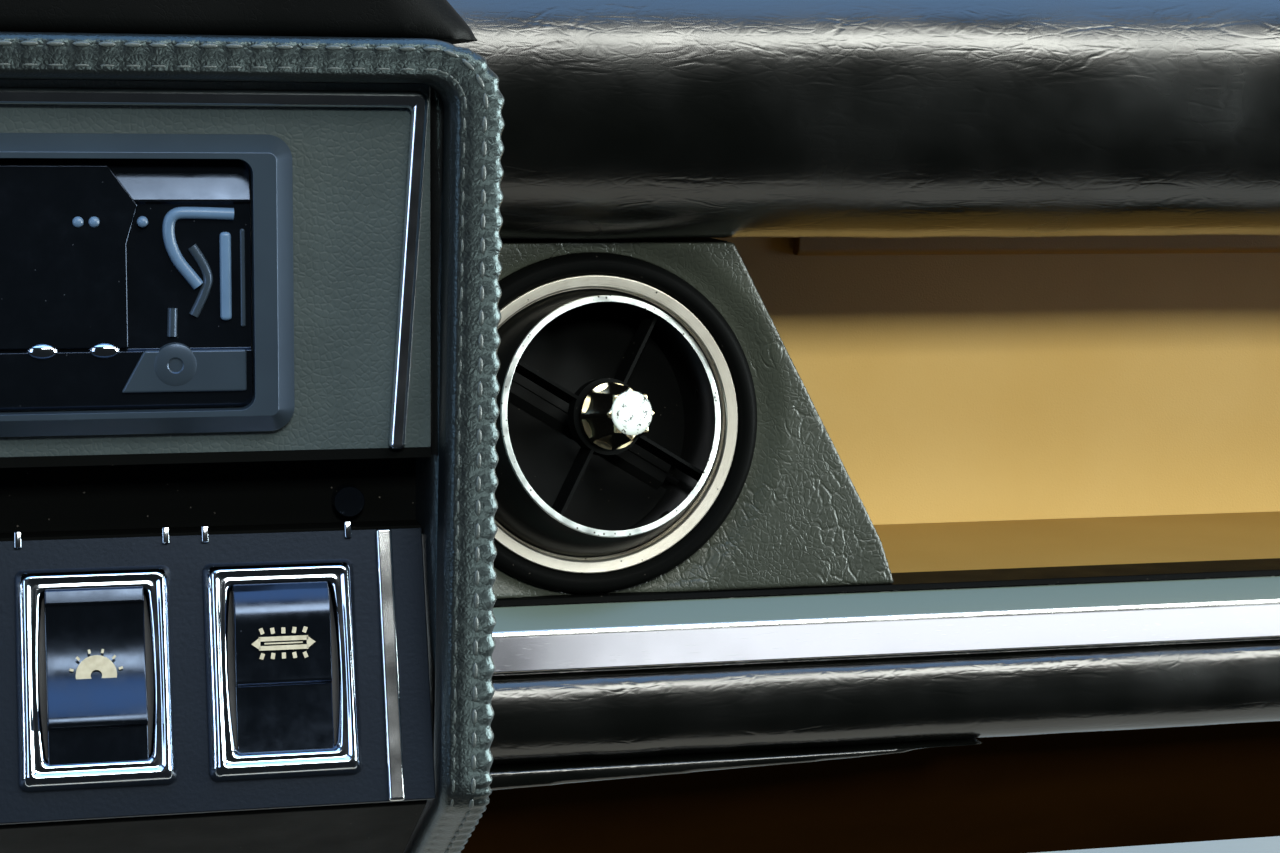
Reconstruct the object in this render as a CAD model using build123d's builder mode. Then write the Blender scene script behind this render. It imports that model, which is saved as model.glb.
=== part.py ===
from build123d import *
from math import atan2, cos, radians, sin, sqrt, tan
import os

# Middle of a car's dashboard: a centre console with a radio and six rocker switches, and beside it
# the passenger's fascia with a swivelling ball vent and an open parcel shelf.
# X runs to the passenger's side, Y forwards to the bulkhead, Z up, in millimetres.
# The origin is the centre of the bulkhead bracket's bolt pattern, on the bulkhead's face.

os.makedirs("parts", exist_ok=True)

# Ball vent
BALL_R = 37.5
BALL_WALL = 1.4
BALL_DEPTH = 11.8           # ball centre behind the bezel's front
RIM_FRONT = 18.9            # rim plane in front of the ball centre
RIM_BAND = 2.6
SHELL_TAIL = 12.0           # back edge of the ball behind its centre
AIM_SIDE = 12.0             # degrees that the ball is turned to the passenger's side
AIM_UP = 10.0               # degrees that it is turned up
VANE_ANGLE = 150.0          # angle of the flap shaft in the front view
BEZEL_R = BALL_R + 3.2
BEZEL_MOUTH_R = BALL_R - 0.5
BEZEL_SLOPE = 3.8
BEZEL_T = 5.5
BEZEL_EDGE = 0.3
FLANGE_R = BEZEL_R + 5.7
FLANGE_PROUD = 1.5
FLANGE_EDGE = 0.9           # edges of the bead behind the bezel's front
FLANGE_SHOULDER = 0.45
HOUSING_WALL = 2.5
RUNNING_GAP = 0.05
BALL_GAP = 0.3
CARRIER_BACK = 20.0         # back of the carrier ring behind the bezel's front
CHAMBER_BACK = 54.0
SPIGOT_START = 64.0
SPIGOT_END = 132.0
SPIGOT_R = 30.0             # seat of the air hose
SPIGOT_SEAT = 22.0          # length of that seat
SPIGOT_WALL = 2.0
NECK_R = SPIGOT_R - 0.6     # neck between the cone and the hose's seat
TRUNNION_R = 1.5
HUB_R = 10.4
VANE_T = 1.0
VANE_FRONT = 16.0
VANE_DEPTH = 8.0
SPINDLE_R = 3.0
KNOB_BASE = 17.3
KNOB_LENGTH = 13.0
KNOB_R = 9.2
KNOB_FRONT_R = 6.9
KNOB_LOBES = 8
KNOB_TURN = 11.0            # degrees from the flap shaft to the first hollow
HOLLOW_SHARE = 0.7          # radius of a hollow as a share of the knob's
HOLLOW_PLACE = 1.54         # and the place of its middle
CAP_R = 5.9
CAP_T = 1.4
CAP_DOME = 0.9
FLAP_BACK = 6.0             # flap shaft behind the ball centre
FLAP_R = BALL_R - 4
FLAP_T = 1.2
FLAP_GRIP = 0.6             # how far a flap's plate reaches into its knuckles
SHAFT_R = 1.2
KNUCKLE_R = 2.4

# Fascia: lengths along X
CONSOLE_HALF = 132.5        # half the console's width over its padded frame
SHELL_HALF = CONSOLE_HALF - 2.5
OVERCUT = 9.0               # how far a cut runs past the outside of its solid
SHELL_WALL = 8.5            # padded side wall of the console
PANEL_HALF = SHELL_HALF - SHELL_WALL
FASCIA_END = 640.0          # passenger's end of the fascia
CHEEK_T = 4.0               # end cheek of the parcel shelf
VENT_X = SHELL_HALF + FLANGE_R + 15.6

# Fascia: places along Y, counted from the bulkhead
FACE_Y = -160.0             # front plane of the vent panel
RAIL_BACK_Y = FACE_Y + 18   # back of the rail that carries the bright strip
SHELF_BACK_Y = FACE_Y + 105 # front of the parcel shelf's back wall
CHEEK_FRONT_Y = FACE_Y + 3
PAD_BACK_Y = -10.0          # back edge of the top pad, at the windscreen
BEAM_FRONT_Y = -48.0        # front of the cross beam
BEAM_D = 30.0
BEAM_BACK_Y = BEAM_FRONT_Y + BEAM_D
PLATE_T = 5.0               # bulkhead plate

# Fascia: heights, counted from the middle of the vent
PANEL_TOP_Z = FLANGE_R + 2.8
PANEL_BOTTOM_Z = -FLANGE_R - 0.6
SHELF_FLOOR_Z = PANEL_BOTTOM_Z - 1
BOARD_T = 4.0               # leather-covered boards of the parcel shelf
TOP_BOARD_T = 2.5
ROLL_BOTTOM_Z = PANEL_TOP_Z + 0.8
SHELF_TOP_Z = ROLL_BOTTOM_Z + 6
ROLL_R = 40.0               # nose of the top crash roll
ROLL_NOSE_REACH = 35.0      # how far the nose stands out over the vent panel
PAD_FALL = 8.0              # fall of the top pad towards the windscreen
ROLL_BACK_Y = FACE_Y + 20
PAD_UNDER_Z = ROLL_BOTTOM_Z + 51.5
BEAM_Z = SHELF_TOP_Z + 6
BEAM_H = 38.0
BEAM_WALL = 2.0
BEAM_CORNER_R = 3.0
SHEET_T = 1.5               # folded steel sheet

# Bright strip and lower roll
STRIP_TOP_Z = SHELF_FLOOR_Z - 0.5
STRIP_BOTTOM_Z = STRIP_TOP_Z - 18.3
STRIP_PROUD = 6.0
STRIP_BEVEL = 6.0           # height of the bevel along its top
STRIP_EDGE = 1.25
LIP_T = 1.4
LOWER_ROLL_R = 13.3
LOWER_ROLL_PROUD = 8.5      # how far the lower roll stands out over the vent panel
LOWER_ROLL_H = 2 * LOWER_ROLL_R
UNDER_PAD_H = 6.7
UNDER_PAD_D = 22.0
UNDER_PAD_LENGTH = 180.0
UNDER_PAD_BREAK = 135.0     # where its lower edge turns up faster, and its height there
UNDER_PAD_BREAK_H = 2.35
UNDER_PAD_FRONT_Y = FACE_Y - 4
UNDER_TOP_Z = STRIP_BOTTOM_Z - LOWER_ROLL_H
CLOSING_DROP = 80.0         # fall of the closing panel from the rail to the bulkhead
CLOSING_FRONT_Y = RAIL_BACK_Y + 14
CLOSING_BACK_Y = PAD_BACK_Y
CLOSING_FALL = CLOSING_DROP / (CLOSING_BACK_Y - CLOSING_FRONT_Y)
RIB_T = 2.0
RIB_PLACES = (SHELL_HALF + 14, (SHELL_HALF + FASCIA_END) / 2, FASCIA_END - 20)
RIB_BOTTOM_Z = UNDER_TOP_Z + 1
RIB_BACK_Y = BEAM_BACK_Y
RAIL_FRONT_Y = FACE_Y + 2

# Parcel shelf's rail, a band along the top of its back wall
BAND_Z = SHELF_TOP_Z - 16.5
BAND_PROUD = 6.0
BAND_R = 2.5

# Vent panel and the pod behind it
PANEL_TOP_X = VENT_X + FLANGE_R - 7.4
PANEL_KINK_X = VENT_X + FLANGE_R + 36.7
PANEL_KINK_Z = PANEL_BOTTOM_Z + 12.8
PANEL_BOTTOM_X = PANEL_KINK_X + 4.4
PANEL_BOARD_T = 5.2
PANEL_KINK_R = 16.0
POD_FRONT_Y = FACE_Y + 8

# Console: places along Y and heights
SHELL_STEP_Y = FACE_Y - 38
CHASSIS_D = 108.0           # radio's chassis, and the air behind it
CHASSIS_GAP = 14.0
FRAME_D = 12.0
FRAME_BACK_Y = SHELL_STEP_Y - CHASSIS_GAP - CHASSIS_D
FRAME_FRONT_Y = FRAME_BACK_Y - FRAME_D
FRAME_TOP_Z = ROLL_BOTTOM_Z + 48
FRAME_BAND = 8.5            # width of the padded band, seen from the front
FRAME_TAPER = 2.5           # how much each side draws in from the top to the chin
CORNER_R = 13.0
FRAME_INNER_R = 5.0
FRAME_REACH = 20.0          # how far the arch outline is swept past the frame, before and behind
CHIN_Z = FRAME_TOP_Z - 152
CHIN_ANGLE = 32.0           # fall of the chin below level
CHIN_BACK_Y = FACE_Y - 60
CHIN_R = 9.0                # rounding of the band where it turns under
SHELL_BACK_Y = FACE_Y + 138
BASE_Z = CHIN_Z - 70
HOOD_TOP_Z = FRAME_TOP_Z + 30
HOOD_TOP_HALF = 106.0
HOOD_CORNER_R = 10.0
HOOD_FRONT_Y = FRAME_FRONT_Y + 6

# Console: panels
PANEL_T = 3.0
UPPER_BOTTOM_Z = FRAME_TOP_Z - 81
TRIM_W = 3.3
TRIM_T = 3.0
TRIM_R = 2.5
TRIM_TOP_Z = FRAME_TOP_Z - 10
TRIM_HALF_TOP = PANEL_HALF - 0.4
TRIM_DRAW = 5.1             # how much narrower the trim is at its bottom
TRIM_HALF_BOTTOM = TRIM_HALF_TOP - TRIM_DRAW
STEP_BACK_Y = FRAME_BACK_Y + 22
STEP_T = 2.0
LOWER_TOP_Y = FRAME_BACK_Y + 10
LOWER_TOP_Z = UPPER_BOTTOM_Z - 18
LOWER_BOTTOM_Y = LOWER_TOP_Y - 17.5
LOWER_BOTTOM_Z = LOWER_TOP_Z - 52.5
LOWER_HALF = PANEL_HALF - 0.3
LOWER_TRIM_HALF = TRIM_HALF_BOTTOM - 1.2
LAMP_R = 3.2
LAMP_D = 5.0
LAMP_X = PANEL_HALF - 14.5  # of the lamp in the recess
LAMP_Z = LOWER_TOP_Z + 5

# Radio
RADIO_Z = TRIM_TOP_Z - 37.7
RADIO_W = 188.0
RADIO_H = 58.0
SURROUND_SIDE = 8.0         # width of the surround at each side
SURROUND_TOP = 4.7          # and along its top and bottom
RADIO_INNER_W = RADIO_W - 2 * SURROUND_SIDE
RADIO_INNER_H = RADIO_H - 2 * SURROUND_TOP
RADIO_PROUD = 6.0
SURROUND_R = 5.0
SURROUND_BEVEL = 3.5
FACE_T = 3.5
FACE_R = 3.0
FACE_GAP = 0.3
WINDOW_MARGIN = 22.0
WINDOW_W = RADIO_INNER_W - 2 * WINDOW_MARGIN
WINDOW_H = 30.0
WINDOW_D = 1.2
WINDOW_R = 2.0
WINDOW_UP = 5.0             # window's middle above the radio's
JACK_R = 2.6
JACK_X = 71.0
JACK_Z = RADIO_Z - 15.3
CHASSIS_W = RADIO_W - SURROUND_SIDE
CHASSIS_H = RADIO_H - SURROUND_SIDE

# Switches
SWITCH_COUNT = 6
SWITCH_MARGIN = 5.0         # between the trims and the row of switches
SWITCH_PITCH = (2 * LOWER_TRIM_HALF - 2 * SWITCH_MARGIN) / SWITCH_COUNT
SWITCH_W = 30.5
SWITCH_H = 43.5
SWITCH_CORNER = 1.8
BEZEL_W = 5.2
SWITCH_PROUD = 4.0
SWITCH_FLARE = 1.6          # chamfer round the front of each bezel
ROCKER_W = 19.6
ROCKER_H = 32.6
ROCKER_TOP_PROUD = 4.6
ROCKER_MID_PROUD = 3.2
ROCKER_FOOT_PROUD = 5.2
ROCKER_FLAT = 1.0           # half of the flat at its middle
SWITCH_BODY_W = 24.0
SWITCH_BODY_H = 37.0
SWITCH_BODY_D = 26.0

# Fixings
BULKHEAD_BOLT_X = 110.0
BULKHEAD_BOLT_Z = 64.0
BULKHEAD_HOLE_R = 4.3
BULKHEAD_EDGE = 14.0        # plate outside the bolts
BRACKET_R = 8.0
WEB_X = 40.0
WEB_T = 3.0
WEB_SETBACK = 4.0           # webs keep this far inside the beam's back
WEB_FOOT = 14.0
PILLAR_BOLT_Z = 38.0
PILLAR_HOLE_R = 4.3
PILLAR_DROP = 30.0          # middle of the pillar's bolts below the beam's top
PILLAR_EDGE = 10.0
TIE_X = 100.0
TUNNEL_BOLT_X = 200.0
TUNNEL_BOLT_Y = 140.0
TUNNEL_HOLE_R = 3.3


def unit(vector):
    return vector * (1 / vector.length)


def save(part, label):
    part.label = label
    export_step(part, "parts/" + label + ".step")


def side(points):
    """Closed outline from (y, z) points, for a sketch on a YZ plane."""
    with BuildLine() as outline:
        Polyline(*points, close=True)
    return make_face(outline.edges())


# Cross beam: rectangular steel tube behind the shelf, from the console to the pillar.
with BuildPart() as cross_beam:
    with BuildSketch(Plane.YZ.offset(-SHELL_HALF)):
        with Locations((BEAM_FRONT_Y + BEAM_D / 2, BEAM_Z + BEAM_H / 2)):
            RectangleRounded(BEAM_D, BEAM_H, BEAM_CORNER_R)
            RectangleRounded(BEAM_D - 2 * BEAM_WALL, BEAM_H - 2 * BEAM_WALL,
                             BEAM_CORNER_R - BEAM_WALL, mode=Mode.SUBTRACT)
    extrude(amount=SHELL_HALF + FASCIA_END - CHEEK_T)
save(cross_beam.part, "cross_beam")

# Bulkhead bracket: plate with four holes and two webs that rise to the beam's back.
with BuildPart() as bulkhead_bracket:
    with BuildSketch(Plane.XZ):
        RectangleRounded(BULKHEAD_BOLT_X + 2 * BULKHEAD_EDGE, BULKHEAD_BOLT_Z + 2 * BULKHEAD_EDGE, BRACKET_R)
        with GridLocations(BULKHEAD_BOLT_X, BULKHEAD_BOLT_Z, 2, 2):
            Circle(BULKHEAD_HOLE_R, mode=Mode.SUBTRACT)
    extrude(amount=PLATE_T)
    for web_x in (-WEB_X, WEB_X - WEB_T):
        with BuildSketch(Plane.YZ.offset(web_x)):
            side([(-PLATE_T, -BULKHEAD_BOLT_Z / 2), (-PLATE_T, BEAM_Z + BEAM_H - WEB_SETBACK),
                  (BEAM_BACK_Y, BEAM_Z + BEAM_H - WEB_SETBACK), (BEAM_BACK_Y, BEAM_Z + WEB_SETBACK),
                  (-WEB_FOOT, -BULKHEAD_BOLT_Z / 2)])
        extrude(amount=WEB_T)
save(bulkhead_bracket.part, "bulkhead_bracket")

# Pillar bracket: end plate welded on the beam, with two holes.
with BuildPart() as pillar_bracket:
    with BuildSketch(Plane.YZ.offset(FASCIA_END - CHEEK_T)):
        with Locations((BEAM_FRONT_Y + BEAM_D / 2, BEAM_Z + BEAM_H - PILLAR_DROP)):
            RectangleRounded(BEAM_D + 2 * BEAM_WALL, PILLAR_BOLT_Z + 2 * PILLAR_EDGE, BRACKET_R)
            with GridLocations(0, PILLAR_BOLT_Z, 1, 2):
                Circle(PILLAR_HOLE_R, mode=Mode.SUBTRACT)
    extrude(amount=CHEEK_T)
save(pillar_bracket.part, "pillar_bracket")

# Top carrier: folded sheet on the beam that bears the top pad, with a lip down behind its nose.
with BuildPart() as top_carrier:
    with BuildSketch(Plane.YZ.offset(-SHELL_HALF)):
        side([(PAD_BACK_Y - BOARD_T, PAD_UNDER_Z), (ROLL_BACK_Y, PAD_UNDER_Z),
              (ROLL_BACK_Y, SHELF_TOP_Z + TOP_BOARD_T), (ROLL_BACK_Y + SHEET_T, SHELF_TOP_Z + TOP_BOARD_T),
              (ROLL_BACK_Y + SHEET_T, PAD_UNDER_Z - SHEET_T), (PAD_BACK_Y - BOARD_T, PAD_UNDER_Z - SHEET_T)])
    extrude(amount=SHELL_HALF + FASCIA_END - CHEEK_T)
save(top_carrier.part, "top_carrier")


def roll_section():
    """Section of the top pad: a round nose over the shelf and a thin pad back to the windscreen."""
    centre_y = FACE_Y - ROLL_NOSE_REACH + ROLL_R
    centre_z = ROLL_BOTTOM_Z + ROLL_R
    top_z = centre_z + ROLL_R
    with BuildLine() as outline:
        Line((ROLL_BACK_Y, ROLL_BOTTOM_Z), (centre_y, ROLL_BOTTOM_Z))
        ThreePointArc((centre_y, ROLL_BOTTOM_Z), (centre_y - ROLL_R, centre_z), (centre_y, top_z))
        Polyline((centre_y, top_z), (PAD_BACK_Y, top_z - PAD_FALL), (PAD_BACK_Y, PAD_UNDER_Z),
                 (ROLL_BACK_Y, PAD_UNDER_Z), (ROLL_BACK_Y, ROLL_BOTTOM_Z))
    return make_face(outline.edges())


# Top crash roll: foam under grained vinyl, over the shelf and behind the console's hood.
with BuildPart() as crash_roll:
    with BuildSketch(Plane.YZ.offset(-CONSOLE_HALF)):
        roll_section()
    extrude(amount=CONSOLE_HALF + FASCIA_END)
save(crash_roll.part, "crash_roll")

# Console hood: raised pad on the console's top, with sloped flanks, that runs back into the roll.
with BuildPart() as console_hood:
    with BuildSketch(Plane.XZ.offset(-HOOD_FRONT_Y)) as hood_front:
        with BuildLine():
            Polyline((-CONSOLE_HALF, FRAME_TOP_Z), (CONSOLE_HALF, FRAME_TOP_Z),
                     (HOOD_TOP_HALF, HOOD_TOP_Z), (-HOOD_TOP_HALF, HOOD_TOP_Z), close=True)
        make_face()
        fillet(hood_front.vertices().group_by(Axis.Y)[-1], HOOD_CORNER_R)
    extrude(amount=HOOD_FRONT_Y - FACE_Y)
    fillet(console_hood.faces().sort_by(Axis.Y)[0].edges().group_by(Axis.Z)[-1], HOOD_CORNER_R)
    with BuildSketch(Plane.YZ.offset(-CONSOLE_HALF)):
        roll_section()
    extrude(amount=2 * CONSOLE_HALF, mode=Mode.SUBTRACT)
save(console_hood.part, "console_hood")

# Vent panel: padded board round the vent, with a slanted edge towards the shelf.
def pod_outline(top, bottom, inset):
    """Front outline of the vent panel and the pod behind it."""
    with BuildLine() as outline:
        Polyline((SHELL_HALF + inset, top - inset), (PANEL_TOP_X - inset, top - inset),
                 (PANEL_KINK_X - inset, PANEL_KINK_Z), (PANEL_BOTTOM_X - inset, bottom + inset),
                 (SHELL_HALF + inset, bottom + inset), close=True)
    return make_face(outline.edges())


with BuildPart() as vent_panel:
    with BuildSketch(Plane.XZ.offset(-FACE_Y)) as panel_sketch:
        pod_outline(PANEL_TOP_Z, PANEL_BOTTOM_Z, 0)
        fillet(panel_sketch.vertices().sort_by_distance((PANEL_KINK_X, PANEL_KINK_Z))[0], PANEL_KINK_R)
        with Locations((VENT_X, 0)):
            Circle(FLANGE_R + 0.1, mode=Mode.SUBTRACT)
    extrude(amount=-PANEL_BOARD_T)
save(vent_panel.part, "vent_panel")

# Vent pod: black box behind the panel, between the console and the shelf.
with BuildPart() as vent_pod:
    with BuildSketch(Plane.XZ.offset(-POD_FRONT_Y)):
        pod_outline(PANEL_TOP_Z, SHELF_FLOOR_Z, 0)
    extrude(amount=-(SHELF_BACK_Y - POD_FRONT_Y))
    with BuildSketch(Plane.XZ.offset(-POD_FRONT_Y)):
        pod_outline(PANEL_TOP_Z, SHELF_FLOOR_Z, HOUSING_WALL)
    extrude(amount=-(SHELF_BACK_Y - POD_FRONT_Y), mode=Mode.SUBTRACT)
save(vent_pod.part, "vent_pod")

# Parcel shelf: leather-covered boards.
with BuildPart() as shelf_back:
    with BuildSketch(Plane.XZ.offset(-SHELF_BACK_Y)):
        with Locations(((SHELL_HALF + FASCIA_END - CHEEK_T) / 2,
                        (SHELF_TOP_Z + SHELF_FLOOR_Z - BOARD_T) / 2)):
            Rectangle(FASCIA_END - CHEEK_T - SHELL_HALF, SHELF_TOP_Z - SHELF_FLOOR_Z + BOARD_T)
        with Locations((VENT_X, 0)):
            Circle(SPIGOT_R + 1, mode=Mode.SUBTRACT)
    extrude(amount=-BOARD_T)
save(shelf_back.part, "shelf_back")

with BuildPart() as shelf_rail:
    with BuildSketch(Plane.YZ.offset(PANEL_BOTTOM_X + 1)) as rail_sketch:
        with Locations((SHELF_BACK_Y - BAND_PROUD / 2, (BAND_Z + SHELF_TOP_Z) / 2)):
            Rectangle(BAND_PROUD, SHELF_TOP_Z - BAND_Z)
        fillet(rail_sketch.vertices().sort_by_distance((SHELF_BACK_Y - BAND_PROUD, BAND_Z))[0], BAND_R)
    extrude(amount=FASCIA_END - CHEEK_T - PANEL_BOTTOM_X - 1)
save(shelf_rail.part, "shelf_rail")

with BuildPart() as shelf_floor:
    with BuildSketch(Plane.YZ.offset(SHELL_HALF)):
        side([(RAIL_BACK_Y, SHELF_FLOOR_Z), (SHELF_BACK_Y, SHELF_FLOOR_Z),
              (SHELF_BACK_Y, SHELF_FLOOR_Z - BOARD_T), (RAIL_BACK_Y, SHELF_FLOOR_Z - BOARD_T)])
    extrude(amount=FASCIA_END - CHEEK_T - SHELL_HALF)
save(shelf_floor.part, "shelf_floor")

with BuildPart() as shelf_top:
    with BuildSketch(Plane.YZ.offset(SHELL_HALF)):
        side([(ROLL_BACK_Y, SHELF_TOP_Z), (SHELF_BACK_Y + BOARD_T, SHELF_TOP_Z),
              (SHELF_BACK_Y + BOARD_T, SHELF_TOP_Z + TOP_BOARD_T), (ROLL_BACK_Y, SHELF_TOP_Z + TOP_BOARD_T)])
    extrude(amount=FASCIA_END - CHEEK_T - SHELL_HALF)
save(shelf_top.part, "shelf_top")

with BuildPart() as end_cheek:
    with BuildSketch(Plane.YZ.offset(FASCIA_END - CHEEK_T)) as cheek_sketch:
        side([(CHEEK_FRONT_Y, STRIP_TOP_Z + LIP_T), (CHEEK_FRONT_Y, ROLL_BOTTOM_Z),
              (ROLL_BACK_Y, ROLL_BOTTOM_Z),
              (ROLL_BACK_Y, SHELF_TOP_Z + TOP_BOARD_T), (SHELF_BACK_Y + BOARD_T, SHELF_TOP_Z + TOP_BOARD_T),
              (SHELF_BACK_Y + BOARD_T, SHELF_FLOOR_Z - BOARD_T), (RAIL_BACK_Y, SHELF_FLOOR_Z - BOARD_T),
              (RAIL_BACK_Y, STRIP_TOP_Z + LIP_T)])
    extrude(amount=CHEEK_T)
save(end_cheek.part, "end_cheek")

# Fascia rail: steel channel under the shelf's front edge.
with BuildPart() as fascia_rail:
    with BuildSketch(Plane.YZ.offset(SHELL_HALF)):
        side([(RAIL_BACK_Y, STRIP_TOP_Z), (RAIL_FRONT_Y, STRIP_TOP_Z), (RAIL_FRONT_Y, STRIP_BOTTOM_Z),
              (RAIL_BACK_Y, STRIP_BOTTOM_Z), (RAIL_BACK_Y, STRIP_BOTTOM_Z + SHEET_T),
              (RAIL_FRONT_Y + SHEET_T, STRIP_BOTTOM_Z + SHEET_T),
              (RAIL_FRONT_Y + SHEET_T, STRIP_TOP_Z - SHEET_T), (RAIL_BACK_Y, STRIP_TOP_Z - SHEET_T)])
    extrude(amount=FASCIA_END - SHELL_HALF)
save(fascia_rail.part, "fascia_rail")

# Finisher strip: polished aluminium extrusion with a bevel along its top.
with BuildPart() as finisher_strip:
    with BuildSketch(Plane.YZ.offset(SHELL_HALF)):
        side([(RAIL_FRONT_Y, STRIP_TOP_Z), (FACE_Y + 0.5, STRIP_TOP_Z),
              (FACE_Y - STRIP_PROUD + STRIP_EDGE, STRIP_TOP_Z - STRIP_BEVEL),
              (FACE_Y - STRIP_PROUD, STRIP_TOP_Z - STRIP_BEVEL - 2 * STRIP_EDGE),
              (FACE_Y - STRIP_PROUD, STRIP_BOTTOM_Z + STRIP_EDGE),
              (FACE_Y - STRIP_PROUD + STRIP_EDGE, STRIP_BOTTOM_Z),
              (RAIL_FRONT_Y, STRIP_BOTTOM_Z)])
    extrude(amount=FASCIA_END - SHELL_HALF)
save(finisher_strip.part, "finisher_strip")

with BuildPart() as edge_lip:
    with BuildSketch(Plane.YZ.offset(SHELL_HALF)):
        side([(FACE_Y - 0.6, STRIP_TOP_Z), (RAIL_BACK_Y, STRIP_TOP_Z),
              (RAIL_BACK_Y, STRIP_TOP_Z + LIP_T), (FACE_Y + 0.4, STRIP_TOP_Z + LIP_T)])
    extrude(amount=FASCIA_END - CHEEK_T - SHELL_HALF)
    with BuildSketch(Plane.XZ.offset(-POD_FRONT_Y)):
        pod_outline(PANEL_TOP_Z, SHELF_FLOOR_Z, 0)
    extrude(amount=RAIL_BACK_Y - POD_FRONT_Y + OVERCUT, dir=(0, 1, 0), mode=Mode.SUBTRACT)
save(edge_lip.part, "edge_lip")

# Lower roll: padded nose under the strip.
with BuildPart() as lower_roll:
    with BuildSketch(Plane.YZ.offset(SHELL_HALF)):
        with BuildLine():
            roll_y = FACE_Y - LOWER_ROLL_PROUD + LOWER_ROLL_R
            ThreePointArc((roll_y, STRIP_BOTTOM_Z), (roll_y - LOWER_ROLL_R, STRIP_BOTTOM_Z - LOWER_ROLL_R),
                          (roll_y, STRIP_BOTTOM_Z - LOWER_ROLL_H))
            Polyline((roll_y, STRIP_BOTTOM_Z - LOWER_ROLL_H), (RAIL_BACK_Y, STRIP_BOTTOM_Z - LOWER_ROLL_H),
                     (RAIL_BACK_Y, STRIP_BOTTOM_Z), (roll_y, STRIP_BOTTOM_Z))
        make_face()
    extrude(amount=FASCIA_END - SHELL_HALF)
save(lower_roll.part, "lower_roll")

# Under pad: thin pad below the roll, that tapers out along the fascia.
with BuildPart() as under_pad:
    with BuildSketch(Plane.XZ.offset(-UNDER_PAD_FRONT_Y)):
        with BuildLine():
            Polyline((SHELL_HALF, UNDER_TOP_Z), (SHELL_HALF + UNDER_PAD_LENGTH, UNDER_TOP_Z),
                     (SHELL_HALF + UNDER_PAD_BREAK, UNDER_TOP_Z - UNDER_PAD_BREAK_H),
                     (SHELL_HALF, UNDER_TOP_Z - UNDER_PAD_H), close=True)
        make_face()
    extrude(amount=-UNDER_PAD_D)
save(under_pad.part, "under_pad")

# Ribs: three pressed webs that hang from the beam and carry the rail, the shelf and the closing panel.
with BuildPart() as shelf_ribs:
    for rib_x in RIB_PLACES:
        with BuildSketch(Plane.YZ.offset(rib_x)):
            side([(SHELF_BACK_Y + BOARD_T, BEAM_Z), (RIB_BACK_Y, BEAM_Z),
                  (RIB_BACK_Y, RIB_BOTTOM_Z - CLOSING_FALL * (RIB_BACK_Y - CLOSING_FRONT_Y)),
                  (CLOSING_FRONT_Y, RIB_BOTTOM_Z), (RAIL_BACK_Y, RIB_BOTTOM_Z),
                  (RAIL_BACK_Y, SHELF_FLOOR_Z - BOARD_T), (SHELF_BACK_Y + BOARD_T, SHELF_FLOOR_Z - BOARD_T)])
        extrude(amount=RIB_T)
save(shelf_ribs.part, "shelf_ribs")

# Closing panel: leather-covered board under the fascia, from the rail down to the bulkhead.
with BuildPart() as closing_panel:
    with BuildSketch(Plane.YZ.offset(SHELL_HALF + 1)):
        side([(CLOSING_FRONT_Y, RIB_BOTTOM_Z), (CLOSING_BACK_Y, RIB_BOTTOM_Z - CLOSING_DROP),
              (CLOSING_BACK_Y, RIB_BOTTOM_Z - CLOSING_DROP - BOARD_T),
              (CLOSING_FRONT_Y, RIB_BOTTOM_Z - BOARD_T)])
    extrude(amount=FASCIA_END - CHEEK_T - SHELL_HALF - 1)
save(closing_panel.part, "closing_panel")

# Ball vent. Its axis is turned aside and up; the section planes carry that pose.
BALL_C = Vector(VENT_X, FACE_Y + BALL_DEPTH, 0)
AIM = Vector(sin(radians(AIM_SIDE)) * cos(radians(AIM_UP)), -cos(radians(AIM_SIDE)) * cos(radians(AIM_UP)),
             sin(radians(AIM_UP)))
TRUNNION = unit(Vector(0, -1, 0).cross(AIM))
SHAFT_RAW = Vector(cos(radians(VANE_ANGLE)), 0, sin(radians(VANE_ANGLE)))
SHAFT = unit(SHAFT_RAW - AIM * SHAFT_RAW.dot(AIM))
ACROSS = AIM.cross(SHAFT)
BALL_SECTION = Plane(origin=BALL_C, x_dir=SHAFT, z_dir=SHAFT.cross(AIM))
BALL_AXIS = Axis(BALL_C, AIM)
VENT_AXIS = Axis(Vector(VENT_X, FACE_Y, 0), Vector(0, 1, 0))
VENT_SECTION = Plane(origin=(VENT_X, FACE_Y, 0), x_dir=(1, 0, 0), z_dir=(0, 0, -1))


def ball_face(ahead):
    """Plane square to the ball's axis, at this distance ahead of its centre."""
    return Plane(origin=BALL_C + AIM * ahead, x_dir=SHAFT, z_dir=AIM)


def ring_section(points):
    """Closed outline from (radius, depth) points, depth counted back from the bezel's front."""
    with BuildLine() as outline:
        Polyline(*[(radius, -depth) for radius, depth in points], close=True)
    return make_face(outline.edges())


# Bezel ring: aluminium, with a conical face that falls inwards to the ball.
with BuildPart() as bezel_ring:
    with BuildSketch(VENT_SECTION):
        ring_section([(BEZEL_R, BEZEL_EDGE), (BEZEL_R - BEZEL_EDGE, 0), (BEZEL_MOUTH_R, BEZEL_SLOPE),
                      (BEZEL_MOUTH_R + BEZEL_EDGE, BEZEL_T), (BEZEL_R, BEZEL_T)])
    revolve(axis=VENT_AXIS)
save(bezel_ring.part, "bezel_ring")

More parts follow.
